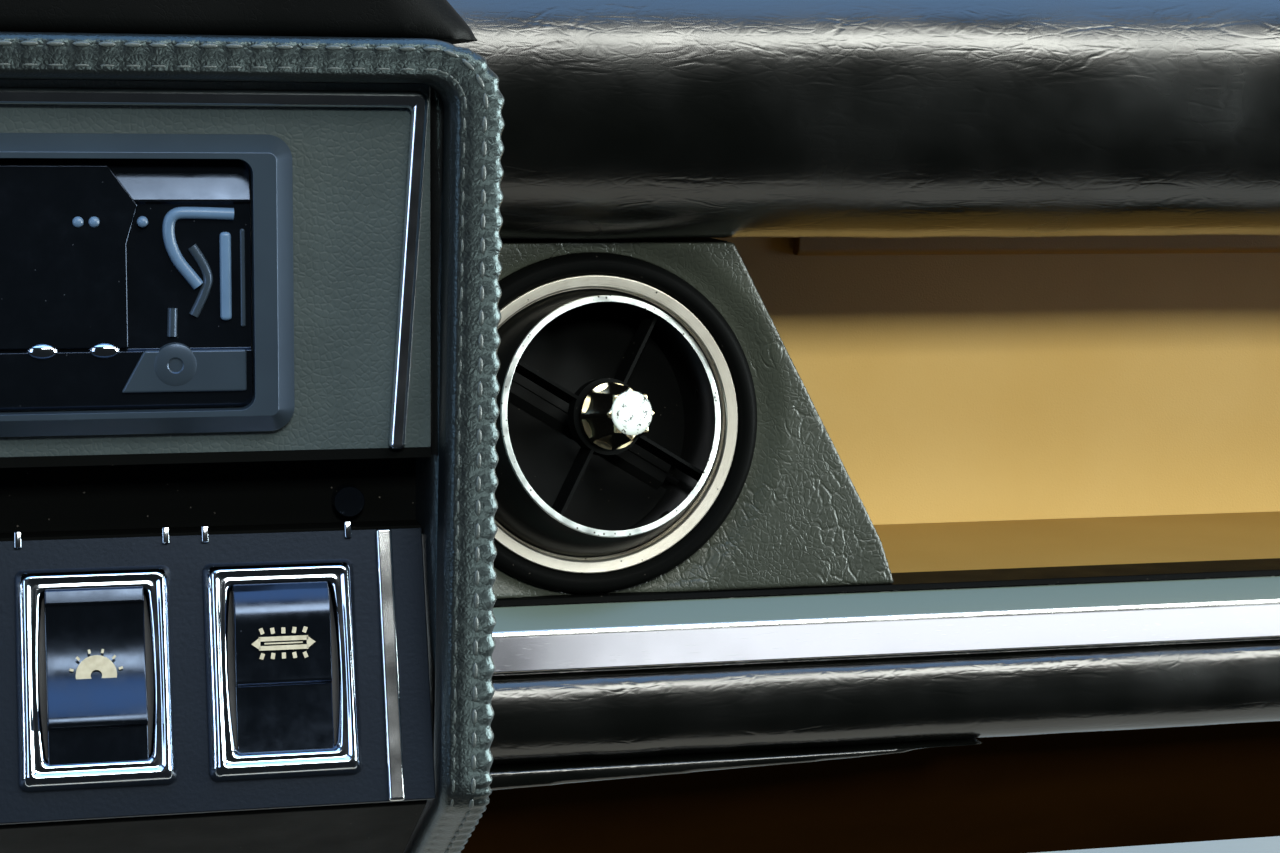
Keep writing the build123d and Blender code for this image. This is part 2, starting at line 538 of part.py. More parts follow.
# Vent flange: soft black bead between the bezel and the panel's padding.
FLANGE_MID_R = (BEZEL_R + FLANGE_R) / 2
FLANGE_CREST = (FLANGE_R - BEZEL_R) * 0.3
with BuildPart() as vent_flange:
    with BuildSketch(VENT_SECTION):
        ring_section([(BEZEL_R, BEZEL_T), (BEZEL_R, FLANGE_EDGE),
                      (FLANGE_MID_R - FLANGE_CREST, FLANGE_SHOULDER - FLANGE_PROUD),
                      (FLANGE_MID_R, -FLANGE_PROUD),
                      (FLANGE_MID_R + FLANGE_CREST, FLANGE_SHOULDER - FLANGE_PROUD),
                      (FLANGE_R, FLANGE_EDGE), (FLANGE_R, BEZEL_T)])
    revolve(axis=VENT_AXIS)
save(vent_flange.part, "vent_flange")

# Vent housing: moulded cup with a shoulder behind the carrier ring.
CARRIER_R = BEZEL_R - 0.3
BORE_R = CARRIER_R + RUNNING_GAP
CARRIER_FRONT = BEZEL_T + 0.3
SHOULDER = CARRIER_BACK + 0.3
SHOULDER_R = BALL_R + 0.8
FLANGE_SEAT_R = FLANGE_R - 1.4
with BuildPart() as vent_housing:
    with BuildSketch(VENT_SECTION):
        ring_section([(BORE_R, BEZEL_T), (BORE_R, SHOULDER), (SHOULDER_R, SHOULDER),
                      (SHOULDER_R, SHOULDER + 2), (BORE_R, SHOULDER + 2), (BORE_R, CHAMBER_BACK),
                      (BORE_R + HOUSING_WALL, CHAMBER_BACK), (BORE_R + HOUSING_WALL, BEZEL_T + 2),
                      (FLANGE_SEAT_R, BEZEL_T + 2), (FLANGE_SEAT_R, BEZEL_T)])
    revolve(axis=VENT_AXIS)
save(vent_housing.part, "vent_housing")

# Duct neck: cone on the housing's back edge, drawn in to the seat of the air hose.
with BuildPart() as duct_neck:
    with BuildSketch(VENT_SECTION):
        ring_section([(BORE_R, CHAMBER_BACK), (SPIGOT_R - SPIGOT_WALL, SPIGOT_START),
                      (SPIGOT_R - SPIGOT_WALL, SPIGOT_END), (SPIGOT_R, SPIGOT_END),
                      (SPIGOT_R, SPIGOT_END - SPIGOT_SEAT), (NECK_R, SPIGOT_END - SPIGOT_SEAT),
                      (NECK_R, SPIGOT_START + 1), (BORE_R + HOUSING_WALL, CHAMBER_BACK + 1),
                      (BORE_R + HOUSING_WALL, CHAMBER_BACK)])
    revolve(axis=VENT_AXIS)
save(duct_neck.part, "duct_neck")

# Carrier ring: turns in the housing; its inside is a ball seat, and two pins reach into the ball.
with BuildPart() as carrier_ring:
    with BuildSketch(VENT_SECTION):
        with Locations(((BALL_R + CARRIER_R) / 2, -(CARRIER_FRONT + CARRIER_BACK) / 2)):
            Rectangle(CARRIER_R - BALL_R + 8, CARRIER_BACK - CARRIER_FRONT)
        with Locations((BORE_R + 10, -BALL_DEPTH)):
            Rectangle(2 * (BORE_R + 10 - CARRIER_R), 60, mode=Mode.SUBTRACT)
        with Locations((0, -BALL_DEPTH)):
            Circle(BALL_R + BALL_GAP, mode=Mode.SUBTRACT)
    revolve(axis=VENT_AXIS)
    for sense in (1, -1):
        with BuildSketch(Plane(origin=BALL_C + TRUNNION * sense * (BALL_R - 2.2), z_dir=TRUNNION * sense)):
            Circle(TRUNNION_R)
        extrude(amount=3.6)
save(carrier_ring.part, "carrier_ring")


def ball_band(back, front):
    """Slice of the ball's wall between two planes square to its axis."""
    Circle(BALL_R)
    Circle(BALL_R - BALL_WALL, mode=Mode.SUBTRACT)
    with Locations((BALL_R / 2, (back + front) / 2)):
        Rectangle(BALL_R, front - back, mode=Mode.INTERSECT)


# Ball shell: spun ball, open at both ends, with two holes for the carrier's pins.
with BuildPart() as ball_shell:
    with BuildSketch(BALL_SECTION):
        ball_band(-SHELL_TAIL, RIM_FRONT - RIM_BAND)
    revolve(axis=BALL_AXIS)
    with BuildSketch(Plane(origin=BALL_C, z_dir=TRUNNION)):
        Circle(TRUNNION_R + RUNNING_GAP)
    extrude(amount=BALL_R + 1, both=True, mode=Mode.SUBTRACT)
save(ball_shell.part, "ball_shell")

with BuildPart() as ball_rim:
    with BuildSketch(BALL_SECTION):
        ball_band(RIM_FRONT - RIM_BAND, RIM_FRONT)
    revolve(axis=BALL_AXIS)
save(ball_rim.part, "ball_rim")

# Vane spider: hub with a bore for the spindle and four thin radial vanes.
with BuildPart() as vane_spider:
    with BuildSketch(ball_face(VANE_FRONT - VANE_DEPTH)):
        with PolarLocations(BALL_R / 2, 4):
            Rectangle(BALL_R, VANE_T)
    extrude(amount=VANE_DEPTH)
    with BuildSketch(ball_face(VANE_FRONT - VANE_DEPTH / 2)):
        Circle(HUB_R)
    extrude(amount=VANE_DEPTH / 2)
    with BuildSketch(ball_face(0)):
        Circle(SPINDLE_R + RUNNING_GAP)
    extrude(amount=VANE_FRONT + 1, mode=Mode.SUBTRACT)
    with Locations(BALL_C):
        Sphere(BALL_R - BALL_WALL, mode=Mode.INTERSECT)
save(vane_spider.part, "vane_spider")

# Knob on its spindle: tapered, with eight hollows along it and a domed cap.
with BuildPart() as knob_spindle:
    with BuildSketch(ball_face(-1)):
        Circle(SPINDLE_R)
    extrude(amount=KNOB_BASE + 1)
save(knob_spindle.part, "knob_spindle")

with BuildPart() as knob:
    for ahead, outer in ((KNOB_BASE, KNOB_R), (KNOB_BASE + KNOB_LENGTH, KNOB_FRONT_R)):
        with BuildSketch(ball_face(ahead)):
            Circle(outer)
            with PolarLocations(outer * HOLLOW_PLACE, KNOB_LOBES, start_angle=KNOB_TURN):
                Circle(outer * HOLLOW_SHARE, mode=Mode.SUBTRACT)
    loft(ruled=True)
save(knob.part, "knob")

with BuildPart() as knob_cap:
    with BuildSketch(ball_face(KNOB_BASE + KNOB_LENGTH)):
        Circle(CAP_R)
    extrude(amount=CAP_T)
    chamfer(knob_cap.edges().sort_by(BALL_AXIS)[-1], CAP_DOME)
save(knob_cap.part, "knob_cap")

# Flaps: two half discs on one shaft across the ball, shut here, that the knob folds back.
SHAFT_C = BALL_C - AIM * FLAP_BACK
SHAFT_HALF = sqrt((BALL_R - BALL_WALL) ** 2 - (FLAP_BACK + SHAFT_R) ** 2)
with BuildPart() as flap_shaft:
    with BuildSketch(Plane(origin=SHAFT_C, z_dir=SHAFT)):
        Circle(SHAFT_R)
    extrude(amount=SHAFT_HALF, both=True)
save(flap_shaft.part, "flap_shaft")

FLAP_ROOT = KNUCKLE_R + 1.2
# name, side of the shaft, spans of the knuckles along it
FLAPS = [("flap_a", 1, [(-30, -17.2), (8, 17)]), ("flap_b", -1, [(-17, -8), (17.2, 30)])]
for flap_name, flap_side, knuckles in FLAPS:
    flap_plane = Plane(origin=SHAFT_C, x_dir=SHAFT, z_dir=SHAFT.cross(ACROSS * flap_side))
    with BuildPart() as flap:
        with BuildSketch(flap_plane):
            Circle(FLAP_R)
            with Locations((0, FLAP_ROOT + FLAP_R / 2)):
                Rectangle(2 * FLAP_R, FLAP_R, mode=Mode.INTERSECT)
            for low, high in knuckles:
                with Locations(((low + high) / 2, (FLAP_ROOT + FLAP_GRIP) / 2)):
                    Rectangle(high - low, FLAP_ROOT + FLAP_GRIP)
        extrude(amount=FLAP_T / 2, both=True)
        for low, high in knuckles:
            with BuildSketch(Plane(origin=SHAFT_C + SHAFT * low, z_dir=SHAFT)):
                Circle(KNUCKLE_R)
            extrude(amount=high - low)
        with BuildSketch(Plane(origin=SHAFT_C, z_dir=SHAFT)):
            Circle(SHAFT_R + RUNNING_GAP)
        extrude(amount=FLAP_R, both=True, mode=Mode.SUBTRACT)
    save(flap.part, flap_name)

# Console. The chin falls away below the switches; chin_z gives its height at a distance inside it.
CHIN_TAN = tan(radians(CHIN_ANGLE))
CHIN_COS = cos(radians(CHIN_ANGLE))
CHIN_SIN = sin(radians(CHIN_ANGLE))


def chin_z(y, inside):
    return CHIN_Z + inside / CHIN_COS - (y - FRAME_FRONT_Y) * CHIN_TAN


TAPER = FRAME_TAPER / (FRAME_TOP_Z - CHIN_Z)
INNER_CORNER_Z = chin_z(FRAME_BACK_Y, FRAME_D)
LEG_BACK_Y = CHIN_BACK_Y + FRAME_D * CHIN_SIN
LEG_BACK_Z = chin_z(LEG_BACK_Y, FRAME_D)


def front_arch(half, top, corner):
    """Front outline of the console, drawn in towards the chin."""
    foot = BASE_Z - OVERCUT
    with BuildSketch(Plane.XY, mode=Mode.PRIVATE) as arch:
        with BuildLine() as outline:
            Polyline((-half + TAPER * (FRAME_TOP_Z - foot), foot), (-half, top), (half, top),
                     (half - TAPER * (FRAME_TOP_Z - foot), foot), close=True)
        make_face(outline.edges())
        fillet(arch.vertices().group_by(Axis.Y)[-1], corner)
    return arch.sketch


# Console frame: padded band round the console's front, that follows the chin down and back.
with BuildPart() as console_frame:
    with BuildSketch(Plane.YZ.offset(-CONSOLE_HALF)) as band:
        side([(FRAME_FRONT_Y, FRAME_TOP_Z), (FRAME_FRONT_Y, CHIN_Z), (CHIN_BACK_Y, chin_z(CHIN_BACK_Y, 0)),
              (LEG_BACK_Y, LEG_BACK_Z), (FRAME_BACK_Y, INNER_CORNER_Z), (FRAME_BACK_Y, FRAME_TOP_Z)])
        fillet(band.vertices().sort_by_distance((FRAME_FRONT_Y, CHIN_Z))[0], CHIN_R)
    extrude(amount=2 * CONSOLE_HALF)
    with BuildSketch(Plane.XZ.offset(-CHIN_BACK_Y - FRAME_REACH)):
        add(front_arch(CONSOLE_HALF, FRAME_TOP_Z, CORNER_R))
        add(front_arch(CONSOLE_HALF - FRAME_BAND, FRAME_TOP_Z - FRAME_BAND, FRAME_INNER_R),
            mode=Mode.SUBTRACT)
    extrude(amount=CHIN_BACK_Y - FRAME_FRONT_Y + 2 * FRAME_REACH, mode=Mode.INTERSECT)
save(console_frame.part, "console_frame")

# Console shell: padded side walls and top, stepped down under the crash roll.
with BuildPart() as console_shell:
    with BuildSketch(Plane.YZ.offset(-SHELL_HALF)):
        side([(FRAME_BACK_Y, FRAME_TOP_Z), (SHELL_STEP_Y, FRAME_TOP_Z), (SHELL_STEP_Y, ROLL_BOTTOM_Z),
              (SHELL_BACK_Y, ROLL_BOTTOM_Z), (SHELL_BACK_Y, BASE_Z), (LEG_BACK_Y, BASE_Z),
              (LEG_BACK_Y, LEG_BACK_Z), (FRAME_BACK_Y, INNER_CORNER_Z)])
    extrude(amount=2 * SHELL_HALF)
    with BuildSketch(Plane.YZ.offset(-SHELL_HALF + SHELL_WALL)):
        side([(FRAME_BACK_Y - OVERCUT, FRAME_TOP_Z - SHELL_WALL),
              (SHELL_STEP_Y - SHELL_WALL, FRAME_TOP_Z - SHELL_WALL),
              (SHELL_STEP_Y - SHELL_WALL, ROLL_BOTTOM_Z - SHELL_WALL),
              (SHELL_BACK_Y + OVERCUT, ROLL_BOTTOM_Z - SHELL_WALL),
              (SHELL_BACK_Y + OVERCUT, BASE_Z - OVERCUT), (FRAME_BACK_Y - OVERCUT, BASE_Z - OVERCUT)])
    extrude(amount=2 * (SHELL_HALF - SHELL_WALL), mode=Mode.SUBTRACT)
save(console_shell.part, "console_shell")

# Console base: steel plate on the tunnel, with four holes.
BASE_MID_Y = (CHIN_BACK_Y + SHELL_BACK_Y) / 2
with BuildPart() as console_base:
    with BuildSketch(Plane.XY.offset(BASE_Z)):
        with Locations((0, BASE_MID_Y)):
            Rectangle(2 * SHELL_HALF, SHELL_BACK_Y - CHIN_BACK_Y)
            with GridLocations(TUNNEL_BOLT_X, TUNNEL_BOLT_Y, 2, 2):
                Circle(TUNNEL_HOLE_R, mode=Mode.SUBTRACT)
    extrude(amount=-PANEL_T)
save(console_base.part, "console_base")

# Console ties: two angles between the shell's back and the cross beam.
with BuildPart() as console_ties:
    for tie_x in (-TIE_X, TIE_X - PANEL_T):
        with BuildSketch(Plane.YZ.offset(tie_x)):
            side([(BEAM_FRONT_Y, ROLL_BOTTOM_Z), (SHELL_BACK_Y, ROLL_BOTTOM_Z),
                  (SHELL_BACK_Y, BEAM_Z), (BEAM_FRONT_Y, BEAM_Z)])
        extrude(amount=PANEL_T)
save(console_ties.part, "console_ties")

# Upper panel: black crackle-painted sheet with the radio's opening.
with BuildPart() as upper_panel:
    with BuildSketch(Plane.XZ.offset(-FRAME_BACK_Y)):
        with Locations((0, (FRAME_TOP_Z - SHELL_WALL + UPPER_BOTTOM_Z) / 2)):
            Rectangle(2 * PANEL_HALF, FRAME_TOP_Z - SHELL_WALL - UPPER_BOTTOM_Z)
        with Locations((0, RADIO_Z)):
            Rectangle(CHASSIS_W + 0.2, CHASSIS_H + 0.2, mode=Mode.SUBTRACT)
    extrude(amount=-PANEL_T)
save(upper_panel.part, "upper_panel")


def trim_outline(half_top, half_bottom, top, bottom):
    with BuildLine() as outline:
        Polyline((-half_bottom, bottom), (-half_top, top), (half_top, top), (half_bottom, bottom), close=True)
    return make_face(outline.edges())


# Upper trim: bright inverted U round the upper panel, narrower at the bottom.
with BuildPart() as upper_trim:
    with BuildSketch(Plane.XZ.offset(-FRAME_BACK_Y)) as trim_sketch:
        trim_outline(TRIM_HALF_TOP, TRIM_HALF_BOTTOM, TRIM_TOP_Z, UPPER_BOTTOM_Z)
        fillet(trim_sketch.vertices().group_by(Axis.Y)[-1], TRIM_R)
        SLOPE = (TRIM_HALF_TOP - TRIM_HALF_BOTTOM) / (TRIM_TOP_Z - UPPER_BOTTOM_Z)
    extrude(amount=TRIM_T)
    with BuildSketch(Plane.XZ.offset(-FRAME_BACK_Y)):
        trim_outline(TRIM_HALF_TOP - TRIM_W - SLOPE * TRIM_W, TRIM_HALF_BOTTOM - TRIM_W - SLOPE * 3,
                     TRIM_TOP_Z - TRIM_W, UPPER_BOTTOM_Z - 3)
    extrude(amount=TRIM_T, mode=Mode.SUBTRACT)
save(upper_trim.part, "upper_trim")

# Step panel: folded sheet that makes the dark recess between the two panels.
with BuildPart() as step_panel:
    with BuildSketch(Plane.YZ.offset(-PANEL_HALF)):
        side([(FRAME_BACK_Y, UPPER_BOTTOM_Z), (STEP_BACK_Y, UPPER_BOTTOM_Z),
              (STEP_BACK_Y, LOWER_TOP_Z - STEP_T),
              (LOWER_TOP_Y + PANEL_T + 0.2, LOWER_TOP_Z - STEP_T), (LOWER_TOP_Y + PANEL_T + 0.2, LOWER_TOP_Z),
              (STEP_BACK_Y - STEP_T, LOWER_TOP_Z), (STEP_BACK_Y - STEP_T, UPPER_BOTTOM_Z - STEP_T),
              (FRAME_BACK_Y, UPPER_BOTTOM_Z - STEP_T)])
    extrude(amount=2 * PANEL_HALF)
save(step_panel.part, "step_panel")

# Lower panel: leans back, with six openings for the switches.
LEAN = atan2(LOWER_TOP_Y - LOWER_BOTTOM_Y, LOWER_TOP_Z - LOWER_BOTTOM_Z)
LOWER_LENGTH = sqrt((LOWER_TOP_Y - LOWER_BOTTOM_Y) ** 2 + (LOWER_TOP_Z - LOWER_BOTTOM_Z) ** 2)
LOWER_MID = Vector(0, (LOWER_TOP_Y + LOWER_BOTTOM_Y) / 2, (LOWER_TOP_Z + LOWER_BOTTOM_Z) / 2)
LOWER_FACE = Plane(origin=LOWER_MID, x_dir=(1, 0, 0), z_dir=(0, -cos(LEAN), sin(LEAN)))
with BuildPart() as lower_panel:
    with BuildSketch(LOWER_FACE):
        Rectangle(2 * LOWER_HALF, LOWER_LENGTH)
        with GridLocations(SWITCH_PITCH, 0, SWITCH_COUNT, 1):
            Rectangle(SWITCH_BODY_W + 0.2, SWITCH_BODY_H + 0.2, mode=Mode.SUBTRACT)
    extrude(amount=-PANEL_T)
save(lower_panel.part, "lower_panel")

with BuildPart() as lower_trim:
    with BuildSketch(LOWER_FACE):
        with GridLocations(2 * LOWER_TRIM_HALF - TRIM_W, 0, 2, 1):
            Rectangle(TRIM_W, LOWER_LENGTH)
    extrude(amount=TRIM_T / 2)
save(lower_trim.part, "lower_trim")

# Switches: chromed bezels, black rockers and the bodies behind the panel.
with BuildPart() as switch_bezels:
    with BuildSketch(LOWER_FACE) as bezel_sketch:
        with GridLocations(SWITCH_PITCH, 0, SWITCH_COUNT, 1):
            Rectangle(SWITCH_W, SWITCH_H)
        chamfer(bezel_sketch.vertices(), SWITCH_CORNER)
    extrude(amount=SWITCH_PROUD)
    front_faces = switch_bezels.faces().sort_by(Axis(LOWER_MID, LOWER_FACE.z_dir))[-SWITCH_COUNT:]
    chamfer(front_faces.edges(), SWITCH_FLARE)
    with BuildSketch(LOWER_FACE):
        with GridLocations(SWITCH_PITCH, 0, SWITCH_COUNT, 1):
            Rectangle(SWITCH_W - 2 * BEZEL_W, SWITCH_H - 2 * BEZEL_W)
    extrude(amount=SWITCH_PROUD, mode=Mode.SUBTRACT)
save(switch_bezels.part, "switch_bezels")

ROCKER_BED = Plane(origin=LOWER_MID, x_dir=LOWER_FACE.y_dir, z_dir=(1, 0, 0))
with BuildPart() as switch_rockers:
    for index in range(SWITCH_COUNT):
        rocker_x = (index - (SWITCH_COUNT - 1) / 2) * SWITCH_PITCH - ROCKER_W / 2
        with BuildSketch(ROCKER_BED.offset(rocker_x)):
            with BuildLine():
                Polyline((ROCKER_H / 2, 0), (-ROCKER_H / 2, 0), (-ROCKER_H / 2, ROCKER_FOOT_PROUD),
                         (-ROCKER_FLAT, ROCKER_MID_PROUD), (ROCKER_FLAT, ROCKER_MID_PROUD),
                         (ROCKER_H / 2, ROCKER_TOP_PROUD), close=True)
            make_face()
        extrude(amount=ROCKER_W)
save(switch_rockers.part, "switch_rockers")

with BuildPart() as switch_bodies:
    with BuildSketch(LOWER_FACE):
        with GridLocations(SWITCH_PITCH, 0, SWITCH_COUNT, 1):
            Rectangle(SWITCH_BODY_W, SWITCH_BODY_H)
    extrude(amount=-SWITCH_BODY_D)
save(switch_bodies.part, "switch_bodies")

# Foot panel: closes the chin between the frame's legs.
FOOT_TOP_Y = LOWER_BOTTOM_Y + PANEL_T + 1.2
FOOT_END_Y = LEG_BACK_Y - 2.4
FOOT_SET = 3.2              # how far the foot panel lies inside the chin
FOOT_HALF = CONSOLE_HALF - FRAME_BAND - TAPER * (FRAME_TOP_Z - BASE_Z) - 0.3
with BuildPart() as foot_panel:
    with BuildSketch(Plane.YZ.offset(-FOOT_HALF)):
        side([(FOOT_TOP_Y, chin_z(FOOT_TOP_Y, FOOT_SET)), (FOOT_END_Y, chin_z(FOOT_END_Y, FOOT_SET)),
              (FOOT_END_Y, chin_z(FOOT_END_Y, FOOT_SET + PANEL_T)),
              (FOOT_TOP_Y, chin_z(FOOT_TOP_Y, FOOT_SET + PANEL_T))])
    extrude(amount=2 * FOOT_HALF)
save(foot_panel.part, "foot_panel")

# Radio: bevelled surround, recessed face and a plain chassis behind the panel.
with BuildPart() as radio_surround:
    with BuildSketch(Plane.XZ.offset(-FRAME_BACK_Y)):
        with Locations((0, RADIO_Z)):
            RectangleRounded(RADIO_W, RADIO_H, SURROUND_R)
    extrude(amount=RADIO_PROUD)
    chamfer(radio_surround.faces().sort_by(Axis.Y)[0].edges(), SURROUND_BEVEL)
    with BuildSketch(Plane.XZ.offset(-FRAME_BACK_Y)):
        with Locations((0, RADIO_Z)):
            RectangleRounded(RADIO_INNER_W, RADIO_INNER_H, FACE_R)
    extrude(amount=RADIO_PROUD, mode=Mode.SUBTRACT)
save(radio_surround.part, "radio_surround")

with BuildPart() as radio_face:
    with BuildSketch(Plane.XZ.offset(-FRAME_BACK_Y)):
        with Locations((0, RADIO_Z)):
            RectangleRounded(RADIO_INNER_W - 2 * FACE_GAP, RADIO_INNER_H - 2 * FACE_GAP, FACE_R)
    extrude(amount=FACE_T)
    with BuildSketch(Plane.XZ.offset(-FRAME_BACK_Y + FACE_T)):
        with Locations((0, RADIO_Z + WINDOW_UP)):
            RectangleRounded(WINDOW_W, WINDOW_H, WINDOW_R)
        with Locations((JACK_X, JACK_Z)):
            Circle(JACK_R)
    extrude(amount=-WINDOW_D, mode=Mode.SUBTRACT)
save(radio_face.part, "radio_face")

with BuildPart() as radio_chassis:
    with BuildSketch(Plane.XZ.offset(-FRAME_BACK_Y)):
        with Locations((0, RADIO_Z)):
            Rectangle(CHASSIS_W, CHASSIS_H)
    extrude(amount=-CHASSIS_D)
save(radio_chassis.part, "radio_chassis")

# Panel lamp: small round lamp in the recess, at each side.
with BuildPart() as panel_lamps:
    with BuildSketch(Plane.XZ.offset(-(STEP_BACK_Y - STEP_T))):
        with Locations((LAMP_X, LAMP_Z), (-LAMP_X, LAMP_Z)):
            Circle(LAMP_R)
    extrude(amount=LAMP_D)
save(panel_lamps.part, "panel_lamps")
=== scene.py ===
from math import atan2, cos, exp, hypot, pi, radians, sin, sqrt, tan
import bpy
from mathutils import Matrix, Vector, noise


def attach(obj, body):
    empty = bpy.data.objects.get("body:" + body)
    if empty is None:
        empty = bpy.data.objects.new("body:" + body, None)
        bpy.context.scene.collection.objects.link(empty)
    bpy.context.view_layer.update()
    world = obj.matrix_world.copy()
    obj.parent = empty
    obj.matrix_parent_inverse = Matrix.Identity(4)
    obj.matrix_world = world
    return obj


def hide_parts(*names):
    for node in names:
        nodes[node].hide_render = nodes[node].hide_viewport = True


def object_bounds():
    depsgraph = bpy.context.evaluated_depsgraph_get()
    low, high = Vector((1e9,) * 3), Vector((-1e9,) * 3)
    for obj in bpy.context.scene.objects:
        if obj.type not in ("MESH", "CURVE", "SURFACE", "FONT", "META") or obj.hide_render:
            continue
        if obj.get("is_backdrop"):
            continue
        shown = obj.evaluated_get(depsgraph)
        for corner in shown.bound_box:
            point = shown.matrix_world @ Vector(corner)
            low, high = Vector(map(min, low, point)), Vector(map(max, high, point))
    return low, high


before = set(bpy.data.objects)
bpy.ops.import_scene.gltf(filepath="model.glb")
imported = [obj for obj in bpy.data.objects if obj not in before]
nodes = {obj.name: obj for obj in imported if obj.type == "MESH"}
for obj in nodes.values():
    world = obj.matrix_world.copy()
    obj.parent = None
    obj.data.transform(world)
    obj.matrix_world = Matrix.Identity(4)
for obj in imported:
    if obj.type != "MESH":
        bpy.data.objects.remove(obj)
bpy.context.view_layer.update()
scene = bpy.context.scene
scene.view_settings.view_transform = "Standard"

# Camera: it looks from beside the driver's head across the console to the ball vent and the shelf.
# A long lens, 14 degrees to the passenger's side and 7 degrees down, solved from the level trim lines.
LENS = 70.31
LOOK_DOWN = 7.2
LOOK_ASIDE = 14
LEAN = 0.5
camera = bpy.data.objects.new("Camera", bpy.data.cameras.new("Camera"))
scene.collection.objects.link(camera)
camera.data.sensor_width = 36
camera.data.lens = LENS
camera.location = (0.0412, -0.8133, 0.0845)
camera.rotation_euler = (radians(90 - LOOK_DOWN), radians(-LEAN), radians(-LOOK_ASIDE))
scene.camera = camera


# Studio: a pale floor under a sky that is bright and blue overhead, with a long lamp high in front, a
# small one behind the camera for the shelf, cool ones at both sides, and cards for the metal and hide.
def srgb(code):
    """Turns a hex colour, as seen on a screen, into linear values."""
    shares = [int(code[i:i + 2], 16) / 255 for i in (1, 3, 5)]
    return [c / 12.92 if c < 0.04045 else ((c + 0.055) / 1.055) ** 2.4 for c in shares] + [1]


def add(material, kind, inputs=None, **settings):
    """Adds a shader node. An input takes a value, or is linked to an output or to a node's first in use."""
    node = material.node_tree.nodes.new("ShaderNode" + kind)
    for name, value in settings.items():
        setattr(node, name, value)
    for name, value in (inputs or {}).items():
        if isinstance(value, bpy.types.Node):
            value = next(output for output in value.outputs if output.enabled)
        if isinstance(value, bpy.types.NodeSocket):
            material.node_tree.links.new(value, node.inputs[name])
        else:
            node.inputs[name].default_value = value
    return node


def blank(name):
    """A new material, and the piece's own coordinates, in which its patterns lie."""
    made = bpy.data.materials.new(name)
    made.use_nodes = True
    made.node_tree.nodes.clear()
    return made, add(made, "TexCoord").outputs["Object"]


ZENITH = srgb("#8DB9EC")
SKY_STRENGTH = 4.0
SKY_FROM, SKY_TO = 0.72, 0.84
BACK_FROM, BACK_TO = -0.1, 0.5
FRONT_HORIZON = srgb("#1D2022")
BACK_HORIZON = srgb("#B4B8BA")
world = bpy.data.worlds.new("Studio")
world.use_nodes = True
world.node_tree.nodes.clear()
scene.world = world
way = add(world, "SeparateXYZ", {0: add(world, "TexCoord").outputs["Generated"]})
rise = add(world, "MapRange", {0: way.outputs["Z"], 1: SKY_FROM, 2: SKY_TO},
           interpolation_type="SMOOTHSTEP")
back = add(world, "MapRange", {0: way.outputs["Y"], 1: BACK_FROM, 2: BACK_TO},
           interpolation_type="SMOOTHSTEP")
sky = add(world, "Mix", {0: back, 6: FRONT_HORIZON, 7: BACK_HORIZON}, data_type="RGBA")
sky = add(world, "Mix", {0: rise, 6: sky, 7: ZENITH}, data_type="RGBA")
power = add(world, "MapRange", {0: rise, 3: 1.0, 4: SKY_STRENGTH})
add(world, "OutputWorld", {0: add(world, "Background", {0: sky, 1: power})})

FLOOR_MIDDLE = (0.3, 0.85, -0.55)
FLOOR_SIZE = 2.4
FLOOR_PALE = srgb("#BDB19C")
FLOOR_BOUNCE = srgb("#4A4743")
bpy.ops.mesh.primitive_plane_add(size=FLOOR_SIZE, location=FLOOR_MIDDLE)
floor = bpy.context.active_object
floor.name = "floor"
# Matt floor paint: pale to the eye and in reflections, and darker to the light that it throws back.
paint, where = blank("Pale studio floor")
rays = add(paint, "LightPath")
seen = add(paint, "Math", {0: rays.outputs["Is Camera Ray"], 1: rays.outputs["Is Glossy Ray"]})
seen = add(paint, "Math", {0: seen, 1: rays.outputs["Is Transmission Ray"]}, use_clamp=True)
tone = add(paint, "Mix", {0: seen, 6: FLOOR_BOUNCE, 7: FLOOR_PALE}, data_type="RGBA")
add(paint, "OutputMaterial", {0: add(paint, "BsdfDiffuse", {0: tone})})
floor.data.materials.append(paint)
floor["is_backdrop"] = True


def lamp(name, place, aim, width, height, power, colour):
    """A soft box of this width and height, turned to a point."""
    light = bpy.data.lights.new(name, "AREA")
    light.shape = "RECTANGLE"
    light.size = width
    light.size_y = height
    light.energy = power
    light.color = srgb(colour)[:3]
    box = bpy.data.objects.new(name, light)
    box.location = place
    box.rotation_euler = (Vector(aim) - Vector(place)).to_track_quat("-Z", "Y").to_euler()
    scene.collection.objects.link(box)
    return box


lamp("front box", (0.80, -1.32, 1.03), (0.30, -0.16, 0.09), 1.7, 0.30, 26, "#F8FAF2")
shelf_box = lamp("shelf box", (0.02, -1.95, 0.66), (0.36, -0.06, 0.0), 0.22, 0.22, 37, "#FFFCF2")
shelf_box.visible_glossy = False
lamp("left box", (-1.30, -1.10, 0.35), (0.05, -0.30, 0.0), 0.6, 1.3, 9, "#BFDCFF")
right_box = lamp("right box", (1.50, -0.50, 0.10), (0.13, -0.33, 0.0), 1.1, 0.8, 58, "#E8F4F2")
right_box.visible_diffuse = False


def card(name, place, aim, width, height, power, colour):
    """A soft box that lights only the pieces put in the collection that this gives."""
    pieces = bpy.data.collections.new("Lit by the " + name)
    lamp(name, place, aim, width, height, power, colour).light_linking.receiver_collection = pieces
    return pieces


lit_by_strip_card = card("strip card", (1.34, -1.62, -0.05), (1.34, 0.0, -0.05), 1.7, 1.1, 7.2, "#F2F6FF")
lit_by_ring_card = card("ring card", (0.30, -1.62, 0.0), (0.30, 0.0, 0.0), 1.1, 0.9, 5, "#F4F8F2")
lit_by_hide_card = card("hide card", (0.75, -1.62, -0.42), (0.13, -0.33, 0.0), 0.9, 0.65, 10, "#F4F8F2")


